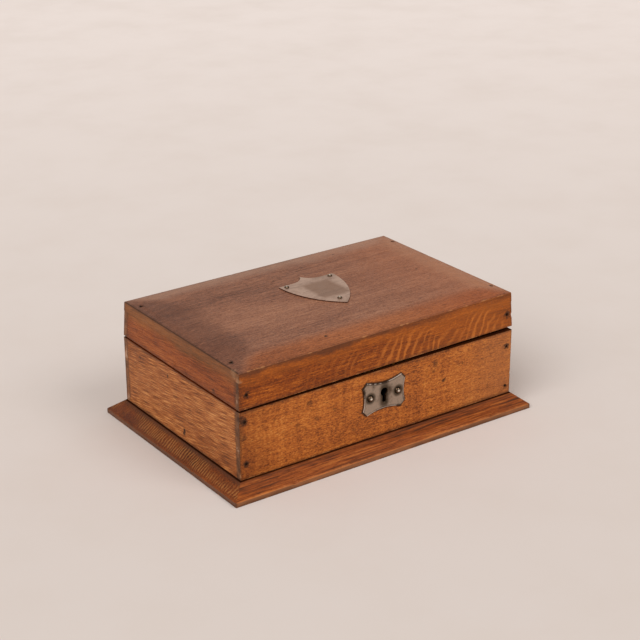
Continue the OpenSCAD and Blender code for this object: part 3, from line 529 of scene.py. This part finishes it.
def metal(name, tone, tarnish, rough, depth=1.0, dress=None):
    """Aged metal: a rubbed face that darkens unevenly, and fine scratches. dress adds a piece's marks."""
    r = Recipe(name)
    r.bloom = r.noise(r.place, 60.0, 5.0, 0.65)
    fine = r.noise(r.place, 700.0, 3.0, 0.6)
    scratch = r.noise(r.move(r.place, turn=(0.3, 0.5, 0.9), scale=(60, 1500, 1500)), 1.0, 2.0, 0.5)
    skin = r.mix(r.stretch(r.bloom, 0.46, 0.72, 0.0, depth), tone, tarnish)
    skin = r.mix(r.stretch(fine, 0.55, 0.8, 0, 0.45 * depth), skin, tarnish)
    if dress is not None:
        skin = dress(r, skin)
    r.feed(r.shader.inputs["Base Color"], skin)
    r.shader.inputs["Metallic"].default_value = 1.0
    shine = r.stretch(r.bloom, 0.35, 0.75, rough - 0.06, rough + 0.2)
    r.feed(r.shader.inputs["Roughness"], r.math("ADD", shine, r.both(scratch, 0.08)))
    r.feed(r.shader.inputs["Normal"], r.bump(r.math("ADD", fine, scratch), 0.03 * MM, 0.5))
    return r.material


def tarnish_round(r, skin, spots, tint):
    """Darkens the metal round each (place, bare radius, outer radius) in millimetres."""
    for spot, inner, outer in spots:
        away = r.stray(r.distance(r.place, Vector(spot) * MM), r.bloom, 2 * MM)
        skin = r.mix(r.stretch(away, inner * MM, outer * MM, 0.85, 0.0), skin, tint)
    return skin


def dress_keyhole_plate(r, skin):
    """Dark tarnish round the pins and the keyhole, tarnish and painted shade along the plate's edge, and
    painted glints along parts of the edge.
    """
    spots = [(middle_of(*part) / MM, 3.6, 6.4) for part in loose_parts("keyhole_plate_pins")]
    spots += [(KEY / MM + Vector((0, front_low.y / MM, rise)), 2.4, 6.8) for rise in (3, -3, -9)]
    skin = tarnish_round(r, skin, spots, colour(62, 50, 34))
    inside = inside_keyhole_plate(r)
    # Tarnish and painted shade along the plate's edge
    rim = r.stray(inside, r.bloom, -3.5 * MM)
    skin = r.mix(r.stretch(rim, 0.2 * MM, 2.4 * MM, 0.85, 0.0), skin, colour(46, 34, 26))
    # Painted glints on patches of the plate's edge
    rubbed = r.both(r.stretch(inside, 0.7 * MM, 0.3 * MM), r.stretch(r.bloom, 0.52, 0.44, 0.0, 0.7))
    return r.mix(rubbed, skin, colour(245, 236, 224))


def dress_shield(r, skin):
    """A painted reflection in the duller middle, painted reflection streaks, tarnish round the pins, and
    painted shadow on the edges.
    """
    low, high = box_of("shield_plate")
    middle = middle_of(low, high)
    x, y, _ = r.parts(r.place)
    across = r.math("SUBTRACT", x, middle.x + 3 * MM)
    across = r.math("ABSOLUTE", r.both(across, 2 / (high.x - low.x)))
    along = r.math("ABSOLUTE", r.both(r.math("SUBTRACT", y, middle.y), 2 / (high.y - low.y)))
    # Painted reflection: a duller, browner middle
    out = r.stray(r.math("MAXIMUM", across, along), r.bloom, 0.6)
    skin = r.mix(r.stretch(out, 0.62, 0.38, 0.0, 0.8), skin, colour(178, 136, 112))
    # Painted reflection streaks
    reflection_streaks = r.noise(r.move(r.place, turn=(0, 0, 0.7), scale=(50, 240, 50)), 1.0, 3.0)
    skin = r.mix(r.stretch(reflection_streaks, 0.5, 0.7, 0.0, 0.35), skin, colour(158, 122, 106))
    spots = [(middle_of(*part) / MM, 2.0, 3.8) for part in loose_parts("shield_pins")]
    skin = tarnish_round(r, skin, spots, colour(48, 34, 26))
    # Painted shadow on the plate's upright edges
    face = lid_edge_top + CROWN + SHIELD_PROUD
    edge = r.stretch(r.parts(untwisted(r))[2], face - 0.35 * MM, face - 0.12 * MM, 0.85, 0.0)
    return r.mix(edge, skin, colour(40, 26, 18))


def dress_pins(r, skin):
    """Painted highlights near the crown of each dome, and tarnish and painted shade round the rim."""
    # Painted highlights sit a little off each crown
    highlight_spots = []
    for low, high in loose_parts("keyhole_plate_pins"):
        middle = middle_of(low, high)
        highlight_spots.append(Vector((middle.x - 0.6 * MM, low.y, middle.z + 0.5 * MM)))
    for low, high in loose_parts("shield_pins"):
        middle = middle_of(low, high)
        highlight_spots.append(Vector((middle.x - 0.3 * MM, middle.y - 0.2 * MM, high.z)))
    nearest = 1.0
    for crown in highlight_spots:
        nearest = r.math("MINIMUM", nearest, r.distance(r.place, crown))
    # Tarnish and painted shade round each dome's rim
    skin = r.mix(r.stretch(nearest, 1.2 * MM, 3.0 * MM, 0.0, 0.9), skin, colour(40, 29, 20))
    # Painted highlight
    return r.mix(r.stretch(nearest, 1.4 * MM, 0.4 * MM), skin, colour(255, 244, 228))


def dress_lock(r, skin):
    """Painted shade: blackened inside, behind the keyhole."""
    _, y, z = r.parts(r.place)
    behind = r.math("LESS_THAN", y, inner_face - 0.5 * MM)
    below = r.math("LESS_THAN", z, cap_high.z + 0.05 * MM)
    # Painted shade behind the keyhole
    return r.mix(r.both(behind, below), skin, colour(14, 11, 9))


def block(name, one, other):
    """A box between two opposite corners, added at its size and place."""
    bpy.ops.object.select_all(action="DESELECT")
    one = Vector(one)
    other = Vector(other)
    bpy.ops.mesh.primitive_cube_add(size=1, location=middle_of(one, other))
    piece = bpy.context.object
    piece.name = name
    piece.scale = [abs(v) for v in other - one]
    bpy.ops.object.transform_apply(location=True, rotation=True, scale=True)
    return piece


def rod(name, foot, axis, radius, length, tip=None, sides=32):
    """A round rod or cone from foot along axis."""
    bpy.ops.object.select_all(action="DESELECT")
    axis = Vector(axis).normalized()
    bpy.ops.mesh.primitive_cone_add(
        vertices=sides, radius1=radius, radius2=radius if tip is None else tip, depth=length,
        location=Vector(foot) + axis * length / 2, rotation=axis.to_track_quat("Z", "Y").to_euler())
    piece = bpy.context.object
    piece.name = name
    bpy.ops.object.transform_apply(location=True, rotation=True, scale=True)
    return piece


def choose(piece, kind, test):
    """Opens the piece in edit mode with only those vertices, edges or faces selected that test keeps."""
    bpy.ops.object.select_all(action="DESELECT")
    bpy.context.view_layer.objects.active = piece
    piece.select_set(True)
    bpy.ops.object.mode_set(mode="EDIT")
    bpy.ops.mesh.select_mode(type=kind)
    bpy.ops.mesh.select_all(action="DESELECT")
    bpy.ops.object.mode_set(mode="OBJECT")
    mesh = piece.data
    for item in {"VERT": mesh.vertices, "EDGE": mesh.edges, "FACE": mesh.polygons}[kind]:
        item.select = test(item)
    bpy.ops.object.mode_set(mode="EDIT")


def close_edit():
    bpy.ops.object.mode_set(mode="OBJECT")


def push(piece, test, by):
    """Moves the vertices whose place passes test."""
    choose(piece, "VERT", lambda v: test(v.co))
    bpy.ops.transform.translate(value=by)
    close_edit()


def ends(piece, edge):
    """The places of an edge's two end points."""
    return [piece.data.vertices[i].co for i in edge.vertices]


def ease(piece, width, segments, test):
    """Rounds the edges whose two end points pass test."""
    choose(piece, "EDGE", lambda e: test(*ends(piece, e)))
    bpy.ops.mesh.bevel(offset=width, segments=segments, profile=0.5, affect="EDGES", clamp_overlap=False)
    close_edit()


def cut(piece, *cutters):
    """Cuts the cutters out of the piece, and removes them."""
    for cutter in cutters:
        modifier = piece.modifiers.new("cut", "BOOLEAN")
        modifier.object = cutter
        modifier.operation = "DIFFERENCE"
        modifier.solver = "EXACT"
        bpy.context.view_layer.objects.active = piece
        bpy.ops.object.modifier_apply(modifier=modifier.name)
        bpy.data.objects.remove(cutter)


def near(a, b):
    return abs(a - b) < 0.02 * MM


def twist_lid_piece(piece):
    """Gives a piece of the lid the twist that lifts the lid's front right corner."""
    bpy.ops.object.select_all(action="DESELECT")
    bpy.ops.object.add(type="LATTICE", location=(0, 0, lid_edge_top))
    cage = bpy.context.object
    cage.scale = (2 * half_w, 2 * half_d, 4 * LID_H)
    net = cage.data
    net.points_u = net.points_v = net.points_w = 2
    net.interpolation_type_u = net.interpolation_type_v = net.interpolation_type_w = "KEY_LINEAR"
    for point in net.points:
        if point.co.x > 0 and point.co.y < 0:
            point.co_deform.z += LID_TWIST / cage.scale.z
    modifier = piece.modifiers.new("twist", "LATTICE")
    modifier.object = cage
    bpy.context.view_layer.update()
    bpy.context.view_layer.objects.active = piece
    bpy.ops.object.modifier_apply(modifier=modifier.name)
    bpy.data.objects.remove(cage)


def loose_parts(node):
    """(lowest corner, highest corner) of every separate solid of a CAD node."""
    mesh = frame["nodes"][node].data
    place = {}
    parent = []

    def root(i):
        while parent[i] != i:
            i = parent[i]
        return i

    index = []
    for v in mesh.vertices:
        key = tuple(round(c, 6) for c in v.co)
        if key not in place:
            place[key] = len(parent)
            parent.append(len(parent))
        index.append(place[key])
    for edge in mesh.edges:
        a, b = (root(index[i]) for i in edge.vertices)
        parent[a] = b
    groups = {}
    for key, i in place.items():
        groups.setdefault(root(i), []).append(key)
    return [(Vector(map(min, zip(*g))), Vector(map(max, zip(*g)))) for g in groups.values()]


def finish_piece(piece, body, material, node):
    """Smooths the rounded edges, keeps the flat faces flat, and puts the piece in the place of its node."""
    bpy.ops.object.select_all(action="DESELECT")
    bpy.context.view_layer.objects.active = piece
    piece.select_set(True)
    bpy.ops.object.shade_smooth_by_angle(angle=SMOOTH_ANGLE)
    weighted = piece.modifiers.new("flat faces", "WEIGHTED_NORMAL")
    weighted.keep_sharp = True
    bpy.ops.object.modifier_apply(modifier=weighted.name)
    piece.data.materials.clear()
    piece.data.materials.append(material)
    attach(piece, body)
    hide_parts(node)


SLOTS = {part["node"]: part["material_slot"] for part in frame["record"]["subparts"]}

# Dents and stains: place in millimetres, radius, strength, and a tone where it isn't dark
TOP_MARKS = (
    ((-46, -75, 109.5), 2.2, 0.8), ((66.5, 71, 109.5), 1.6, 0.7), ((103, -3.5, 110.5), 1.6, 0.6),
    ((-15, 47, 110), 1.8, 0.7), ((15.5, 42, 110), 1.4, 0.5), ((-85, 22.5, 110), 1.8, 0.6),
)
FRONT_MARKS = tuple(((x, front_low.y / MM, z), radius, strength) for x, z, radius, strength in (
    (65, 46.5, 3.0, 0.85), (55, 64, 4.3, 0.55), (85, 57, 2.0, 0.6), (54, 57.5, 2.6, 0.45),
    (110.5, 50.5, 2.0, 0.45), (-74, 63.5, 5.0, 0.45), (-139, 67, 4.6, 0.6), (-136, 50.5, 3.2, 0.5),
    (-85, 47.5, 2.9, 0.4), (-29.5, 27, 2.5, 0.5), (-66.5, 48.5, 2.9, 0.45), (-48.5, 51.5, 2.3, 0.45),
    (-107, 58.5, 2.2, 0.4),
))
SIDE_MARKS = tuple(((-half_w / MM, y, z), radius, strength) for y, z, radius, strength in (
    (-6.5, 24, 2.5, 1.0), (-5.5, 21, 2.5, 1.0), (18, 64, 2.2, 0.8), (64, 64.5, 2.0, 0.5),
))
LID_END_MARKS = (
    ((-139, -82, 104), 4.5, 0.2, PALE), ((-139, -89, 99), 4.0, 0.25, PALE), ((-140, -54, 78.5), 2.4, 0.6),
)
# Nicks in the arrises: a place on the arris, its outward direction, and how long and how deep
LID_FRONT_NICKS = (
    ((-139.0, -90.3, 97.0), (-1, -1, 0), 6.0, 0.8), ((-139.4, -90.8, 84.0), (-1, -1, 0), 4.0, 0.5),
    ((139.3, -90.6, 88.0), (1, -1, 0), 5.0, 0.6),
)
LID_BACK_NICKS = (((139.2, 90.5, 92.0), (1, 1, 0), 6.0, 0.6),)
TOP_NICKS = (
    ((-138.5, -79.5, 106.9), (-1, 0, 1), 5.5, 0.9), ((-62.0, -89.8, 107.1), (0, -1, 1), 7.0, 0.8),
    ((47.0, -89.8, 107.9), (0, -1, 1), 5.0, 0.7), ((104.0, -89.8, 108.3), (0, -1, 1), 6.0, 0.8),
    ((-138.5, 31.0, 106.5), (-1, 0, 1), 6.0, 0.7), ((138.5, 22.0, 107.3), (1, 0, 1), 6.0, 0.7),
    ((-31.0, 89.8, 106.4), (0, 1, 1), 6.0, 0.7),
)
BODY_NICKS = (
    ((-140.0, -91.3, 62.0), (-1, -1, 0), 6.0, 0.7), ((-140.0, -91.3, 37.0), (-1, -1, 0), 4.0, 0.6),
    ((140.0, -91.3, 33.0), (1, -1, 0), 5.0, 0.6),
)
BASE_NICKS = (
    ((-96.0, -104.4, 4.0), (0, -1, 1), 7.0, 0.8), ((61.0, -104.4, 4.0), (0, -1, 1), 5.0, 0.6),
    ((-153.1, -37.0, 4.0), (-1, 0, 1), 7.0, 0.8), ((153.1, 44.0, 4.0), (1, 0, 1), 6.0, 0.7),
)


def nick(piece, nicks):
    """Wears shallow hollows into the arrises of a piece, each the side of a wide drum."""
    drum = 10 * MM
    for place, outward, length, deep in nicks:
        outward = Vector(outward).normalized()
        along = Vector((0, 0, 1)) if outward.z == 0 else Vector((outward.y, outward.x, 0)).normalized()
        across = outward.cross(along)
        radius = (length * length / 4 + deep * deep) / (2 * deep) * MM
        centre = Vector(place) * MM + outward * (radius - deep * MM)
        cut(piece, rod("nick", centre - across * drum / 2, across, radius, drum, sides=96))


def nail_pits(node, axis, test):
    """Cutters for the pits over a node's nail heads: the nails lie along axis, and test picks them by their
    middle."""
    pits = []
    k = "xyz".index(axis)
    for low, high in loose_parts(node):
        middle = middle_of(low, high)
        if not test(middle):
            continue
        radius = (high[(k + 1) % 3] - low[(k + 1) % 3]) / 2 + PIT_ROOM
        inward = Vector((0, 0, 0))
        inward[k] = -1 if middle[k] > 0 else 1
        head = middle.copy()
        head[k] = high[k] if inward[k] < 0 else low[k]
        start = head - inward * PIT_START
        pits.append(rod("pit", start, inward, radius, PIT_START + PIT_DEPTH, sides=20))
    return pits


def nail_stains(node, radius):
    """A dark stain in the wood round every nail head of a node."""
    stains = []
    for low, high in loose_parts(node):
        middle = middle_of(low, high)
        if high.z - low.z > high.y - low.y:
            middle.z = high.z
        else:
            middle.y = low.y if middle.y < 0 else high.y
        stains.append((middle / MM, radius, 0.85))
    return tuple(stains)


def body_board(name, low, high, laps_at=None, ease_head=True):
    """A board of the body or a rail of the lid: a block, its end rebates and its eased arrises."""
    piece = block(name, low, high)
    if laps_at is not None:
        for s in (-1, 1):
            end = s * (half_w - board_t)
            reach = s * (half_w + PAST)
            seat = laps_at * (half_d - lap_t)
            deep = laps_at * (half_d - board_t - PAST)
            cut(piece, block("rebate", (end, seat, low[2] - PAST), (reach, deep, high[2] + PAST)))

    def outer(p):
        return near(abs(p.x), half_w) and near(abs(p.y), half_d)

    def corner(a, b):
        return outer(a) and outer(b) and near(a.x, b.x)

    def rim(a, b):
        level = near(a.z, b.z) and (near(a.z, low[2]) or (ease_head and near(a.z, high[2])))
        return level and not corner(a, b)

    if laps_at is not None:
        ease(piece, ARRIS, 3, corner)
    ease(piece, JOINT_ARRIS, 2, rim)
    return piece


def lock_room(piece):
    """Cuts the lock's mortise and the keyhole from the front board."""
    g = LET_IN_GAP
    past_corner = (case_high.x + g, inner_face + PAST, body_top + PAST)
    cut(piece,
        block("case room", (cap_low.x - g, cap_low.y - g, cap_low.z - g),
              (cap_high.x + g, inner_face + PAST, body_top + PAST)),
        block("plate room", (case_low.x - g, inner_face - BACK_PLATE_T - g, case_low.z - g), past_corner),
        block("top plate room", (case_low.x - g, case_low.y - g, cap_high.z - g), past_corner),
        rod("keyhole", (KEY.x, front_low.y - PAST, KEY.z), (0, 1, 0), KEYHOLE_D / 2, 6 * MM),
        block("keyslot", (KEY.x - KEYSLOT_W / 2, front_low.y - PAST, KEY.z - KEYSLOT_L),
              (KEY.x + KEYSLOT_W / 2, front_low.y + 5 * MM, KEY.z)))


def hinge_rooms(piece, side):
    """Cuts the gains for the hinge leaves and the room for their knuckles: side is 'body' or 'lid'."""
    g = LET_IN_GAP
    for hand in ("left", "right"):
        low, high = box_of(f"{hand}_hinge_{side}_leaf")
        axis = middle_of(*box_of(f"{hand}_hinge_pin"))
        knuckle = high.y - axis.y + KNUCKLE_ROOM
        if side == "body":
            leaf = (body_top - LEAF_T - g, body_top + PAST)
            round_room = (axis.z - knuckle, body_top + PAST)
        else:
            leaf = (lid_foot - PAST, lid_foot + LEAF_T + g)
            round_room = (lid_foot - PAST, axis.z + knuckle)
        cut(piece,
            block("gain", (low.x - g, low.y - g, leaf[0]), (high.x + g, half_d + PAST, leaf[1])),
            block("knuckle room", (low.x - g, axis.y - knuckle, round_room[0]),
                  (high.x + g, half_d + PAST, round_room[1])))


def make_front_board():
    piece = body_board("front_board_wood", front_low, front_high, laps_at=-1)
    lock_room(piece)
    cut(piece, *nail_pits("body_corner_nails", "y", lambda p: p.y < 0))
    nick(piece, BODY_NICKS)
    look = oak("front board oak", front_low, front_high, "X", 1, FRONT_TONES,
               {"drift": 0.4, "streak": 0.35, "fibre": 0.6, "speck": 1.3, "dash": 0.3, "band": 0.55},
               end=END_GRAIN, painted_head_shade=HEAD_SHADE_TONE, grime=0.55, dress=dress_front,
               zones=(("X", -95, -150, 0.5, colour(150, 128, 120), "MULTIPLY"),
                      ("Z", 24, 8, 0.25, colour(190, 170, 160), "MULTIPLY"),
                      ("X", 60, 135, 0.4, colour(176, 112, 66), "MIX")),
               marks=nail_stains("body_corner_nails", 4.0) + FRONT_MARKS)
    finish_piece(piece, "box", look, "front_board")


def make_back_board():
    low, high = box_of("back_board")
    piece = body_board("back_board_wood", low, high, laps_at=1)
    hinge_rooms(piece, "body")
    cut(piece, *nail_pits("body_corner_nails", "y", lambda p: p.y > 0))
    look = oak("back board oak", low, high, "X", 2, FRONT_TONES,
               {"drift": 0.9, "streak": 0.9, "fibre": 0.7, "speck": 0.6},
               end=BACK_END_GRAIN, painted_head_shade=HEAD_SHADE_TONE, grime=0.7,
               marks=nail_stains("body_corner_nails", 4.0))
    finish_piece(piece, "box", look, "back_board")


def make_side_boards():
    for hand, seed in (("left", 3), ("right", 4)):
        low, high = box_of(f"{hand}_side_board")
        piece = body_board(f"{hand}_side_board_wood", low, high)
        look = oak(f"{hand} side board oak", low, high, "Y", seed, SIDE_TONES,
                   {"drift": 0.7, "streak": 0.3, "slant": 2.3 if hand == "left" else 1.8, "fibre": 0.5},
                   painted_head_shade=SIDE_HEAD_SHADE_TONE, wear=0.0, grime=0.7, pores=0.2,
                   marks=SIDE_MARKS if hand == "left" else ())
        finish_piece(piece, "box", look, f"{hand}_side_board")


def make_base_board():
    """The base board: a block whose upper rim is drawn in to the body to make the bevel."""
    piece = block("base_board_wood", base_low, base_high)
    choose(piece, "FACE", lambda f: f.normal.z > 0.9)
    out = base_high.x - half_w
    bpy.ops.mesh.inset(thickness=out, depth=0)
    close_edit()

    def outer(p):
        return near(abs(p.x), base_high.x) or near(abs(p.y), base_high.y)

    push(piece, lambda p: near(p.z, base_high.z) and outer(p), (0, 0, BASE_EDGE_H - base_high.z))
    ease(piece, BASE_ARRIS, 2, lambda a, b: outer(a) and outer(b))
    for low, high in loose_parts("base_screws"):
        middle = middle_of(low, high)
        head_r = (high.x - low.x) / 2
        cut(piece,
            rod("head room", (middle.x, middle.y, -PAST), (0, 0, 1), head_r, PAST + low.z),
            rod("countersink", (middle.x, middle.y, low.z), (0, 0, 1), head_r, head_r, tip=head_r / 2))
    nick(piece, BASE_NICKS)
    look = oak("base oak", base_low, base_high, "X", 5, BASE_TONES,
               {"drift": 0.5, "streak": 0.7, "fibre": 0.9, "ring": 1.4}, grime=0.6, wear=0.6,
               dress=dress_base)
    finish_piece(piece, "box", look, "base_board")


def lapped_rail(name, side):
    """The front rail of the lid (side -1) or the back rail (side 1), leaned and twisted."""
    outer = (-half_w, side * half_d, lid_foot)
    inner = (half_w, side * (half_d - board_t), rail_head)
    piece = body_board(name, outer, inner, laps_at=side, ease_head=False)
    lean_lid_piece(piece, rail_head, rail_lean)
    twist_lid_piece(piece)
    return piece


def lean_lid_piece(piece, head, lean):
    """Leans the outer faces in towards their head."""
    slack = 0.9 * MM
    for s in (-1, 1):
        push(piece, lambda p: p.z > head - slack and s * p.x > half_w - slack, (-s * lean, 0, 0))
        push(piece, lambda p: p.z > head - slack and s * p.y > half_d - slack, (0, -s * lean, 0))


def make_lid_rails():
    front = lapped_rail("lid_front_rail_wood", -1)
    plate_low, plate_high = box_of("link_plate")
    g = LET_IN_GAP
    cut(front, block("link plate room", (plate_low.x - g, plate_low.y - g, lid_foot - PAST),
                     (plate_high.x + g, inner_face + PAST, plate_high.z + g)))
    cut(front, *nail_pits("lid_corner_nails", "y", lambda p: p.y < 0))
    nick(front, LID_FRONT_NICKS)
    high = Vector((half_w, inner_face, lid_edge_top))
    look = oak("lid front rail oak", lid_low, high, "X", 6, RAIL_TONES,
               {"drift": 0.8, "streak": 0.8, "fibre": 0.8, "speck": 0.5}, end=END_GRAIN, lid=True,
               dress=dress_lid_front, marks=nail_stains("lid_corner_nails", 4.4))
    finish_piece(front, "lid", look, "lid_front_rail")
    back = lapped_rail("lid_back_rail_wood", 1)
    hinge_rooms(back, "lid")
    cut(back, *nail_pits("lid_corner_nails", "y", lambda p: p.y > 0))
    nick(back, LID_BACK_NICKS)
    low = Vector((-half_w, -inner_face, lid_foot))
    look = oak("lid back rail oak", low, lid_high, "X", 8, RAIL_TONES,
               {"drift": 0.8, "streak": 0.9, "fibre": 0.6, "speck": 0.4}, end=BACK_END_GRAIN, lid=True)
    finish_piece(back, "lid", look, "lid_back_rail")
    for s, hand in ((-1, "left"), (1, "right")):
        inner = s * (half_w - board_t)
        low = Vector((min(inner, s * half_w), -half_d + lap_t, lid_foot))
        high = Vector((max(inner, s * half_w), half_d - lap_t, rail_head))
        piece = body_board(f"lid_{hand}_rail_wood", low, high, ease_head=False)
        lean_lid_piece(piece, rail_head, rail_lean)
        twist_lid_piece(piece)
        high.z = lid_edge_top
        look = oak(f"lid {hand} rail oak", low, high, "Y", 7, LID_END_TONES, {"drift": 0.9, "fibre": 0.7},
                   lid=True, wear=0.0, dress=dress_lid_end,
                   marks=LID_END_MARKS if hand == "left" else ())
        finish_piece(piece, "lid", look, f"lid_{hand}_rail")


def make_lid_top():
    """The lid's top board: a block whose upper face is inset ring by ring into the soft pillow."""
    foot = rail_head + TOP_BOARD_GAP
    low = Vector((-half_w + rail_lean, -half_d + rail_lean, foot))
    high = Vector((half_w - rail_lean, half_d - rail_lean, lid_edge_top))
    piece = block("lid_top_board_wood", low, high)
    lean = LID_LEAN - rail_lean
    halfway = (foot + lid_edge_top) / 2
    for s in (-1, 1):
        push(piece, lambda p: p.z > halfway and s * p.x > 0, (-s * lean, 0, 0))
        push(piece, lambda p: p.z > halfway and s * p.y > 0, (0, -s * lean, 0))
    choose(piece, "FACE", lambda f: f.normal.z > 0.9)
    step = SLOPE_W / PILLOW_RINGS
    risen = 0
    for i in range(1, PILLOW_RINGS + 1):
        rise = CROWN * (1 - (1 - i / PILLOW_RINGS) ** 2)
        bpy.ops.mesh.inset(thickness=step, depth=rise - risen)
        risen = rise
    close_edit()

    def rim(a, b):
        return near(a.z, lid_edge_top) and near(b.z, lid_edge_top)

    ease(piece, ARRIS, 3, rim)
    twist_lid_piece(piece)
    cut(piece, *nail_pits("lid_top_nails", "z", lambda p: True))
    nick(piece, TOP_NICKS)
    look = oak("lid top oak", lid_low, lid_high, "X", 10, TOP_SHEEN_TONES,
               {"drift": 0.8, "streak": 0.3, "fibre": 1.0, "speck": 0.9}, lid=True, pores=0.55,
               wear_front=True, rough=0.45, grime=0.3, dress=dress_lid_top,
               zones=(("X", 10, 110, 0.22, colour(186, 106, 62), "MIX"),),
               marks=nail_stains("lid_top_nails", 3.2) + TOP_MARKS + LID_END_MARKS)
    finish_piece(piece, "lid", look, "lid_top_board")


def dress_metal(node, material, width):
    """Gives a metal node of the frame its finish and softly broken edges."""
    piece = frame["nodes"][node]
    weld = piece.modifiers.new("join", "WELD")
    weld.merge_threshold = 0.001 * MM
    rounding = piece.modifiers.new("rounding", "BEVEL")
    rounding.width = width
    rounding.segments = 2
    rounding.limit_method = "ANGLE"
    rounding.angle_limit = BREAK_ANGLE
    rounding.harden_normals = False
    piece.data.materials.clear()
    piece.data.materials.append(material)


def make_metal():
    """Gives every metal node its own finish, or else that of its slot."""
    dark_nickel = colour(92, 74, 58)
    dark_brass = colour(96, 70, 38)
    # The pins' finish holds painted highlights and painted shade
    pins = metal("tarnished pins with painted highlights", colour(104, 82, 64), dark_nickel, 0.2, depth=0.3, dress=dress_pins)
    lock_brass = metal("lock brass", colour(170, 134, 78), dark_brass, 0.4, dress=dress_lock)
    own = {
        "keyhole_plate": metal("keyhole plate nickel", colour(174, 155, 138), dark_nickel, 0.38,
                               dress=dress_keyhole_plate),
        "shield_plate": metal("shield nickel", colour(242, 206, 186), dark_nickel, 0.3, depth=0.45,
                              dress=dress_shield),
        "keyhole_plate_pins": pins,
        "shield_pins": pins,
        "lock_case": lock_brass,
        "lock_cap": lock_brass,
        "bolt_spring": lock_brass,
    }
    finishes = {
        "brass": metal("aged brass", colour(178, 142, 82), dark_brass, 0.36),
        "iron": metal("rusted iron", colour(56, 40, 32), colour(30, 20, 15), 0.6),
    }
    for node in frame["nodes"]:
        finish = own.get(node, finishes.get(SLOTS[node]))
        if finish is not None:
            dress_metal(node, finish, PLATE_ARRIS if node == "keyhole_plate" else METAL_ARRIS)


make_front_board()
make_back_board()
make_side_boards()
make_base_board()
make_lid_rails()
make_lid_top()
make_metal()


# Floor, lamps and camera, which stands at the photo's viewpoint
LAMP_TINT = (0.985, 1, 1.02)
ROOM_TINT = (1, 0.95, 0.885, 1)
LENS = 94.03
CAMERA_PLACE = Vector((-0.75983, -1.07674, 0.64881))
CAMERA_RIGHT = Vector((0.81573, -0.57843, -0.0027))
CAMERA_UP = Vector((0.22921, 0.31894, 0.91964))


def make_floor():
    """A wide pale floor, with painted light that brightens it gently with its distance."""
    bpy.ops.object.select_all(action="DESELECT")
    bpy.ops.mesh.primitive_plane_add(size=30, location=(0, 0, 0))
    floor = bpy.context.object
    floor.name = "floor"
    r = Recipe("pale floor")
    x, y, _ = r.parts(r.place)
    # Painted light: paler with distance
    away = r.math("ADD", r.both(x, 0.53), r.both(y, 0.75))
    skin = r.mix(r.stretch(away, -0.3, 1.7), colour(218, 206, 199), colour(235, 223, 217))
    mottle = r.noise(r.place, 9.0, 5.0, 0.6)
    skin = r.mix(r.stretch(mottle, 0.35, 0.8, 0, 0.25), skin, colour(210, 195, 184))
    r.feed(r.shader.inputs["Base Color"], skin)
    r.shader.inputs["Roughness"].default_value = 0.95
    r.shader.inputs["Specular IOR Level"].default_value = 0.1
    floor.data.materials.append(r.material)


def make_softbox(name, azimuth, elevation, strength, spread):
    """A broad soft light from a direction, given in degrees from straight in front."""
    data = bpy.data.lights.new(name, "SUN")
    data.energy = strength
    data.angle = math.radians(spread)
    data.color = LAMP_TINT
    lamp = bpy.data.objects.new(name, data)
    bpy.context.scene.collection.objects.link(lamp)
    side = math.radians(azimuth)
    rise = math.radians(elevation)
    towards = Vector((math.sin(side) * math.cos(rise), -math.cos(side) * math.cos(rise), math.sin(rise)))
    lamp.rotation_euler = towards.to_track_quat("Z", "Y").to_euler()


def make_light():
    world = bpy.data.worlds.new("room")
    bpy.context.scene.world = world
    world.use_nodes = True
    background = world.node_tree.nodes["Background"]
    background.inputs["Color"].default_value = ROOM_TINT
    background.inputs["Strength"].default_value = 0.46
    make_softbox("left softbox", -66, 44, strength=1.68, spread=42)
    make_softbox("right softbox", 22, 44, strength=0.88, spread=30)


def make_camera():
    """A long lens in front of the left corner, a little above the box."""
    data = bpy.data.cameras.new("camera")
    data.sensor_width = 36
    data.lens = LENS
    data.shift_x = -0.0005
    camera = bpy.data.objects.new("camera", data)
    bpy.context.scene.collection.objects.link(camera)
    right = CAMERA_RIGHT.normalized()
    up = CAMERA_UP.normalized()
    turn = Matrix((right, up, right.cross(up))).transposed().to_4x4()
    camera.matrix_world = Matrix.Translation(CAMERA_PLACE) @ turn
    bpy.context.scene.camera = camera


make_floor()
make_light()
make_camera()
bpy.context.scene.view_settings.view_transform = "Standard"
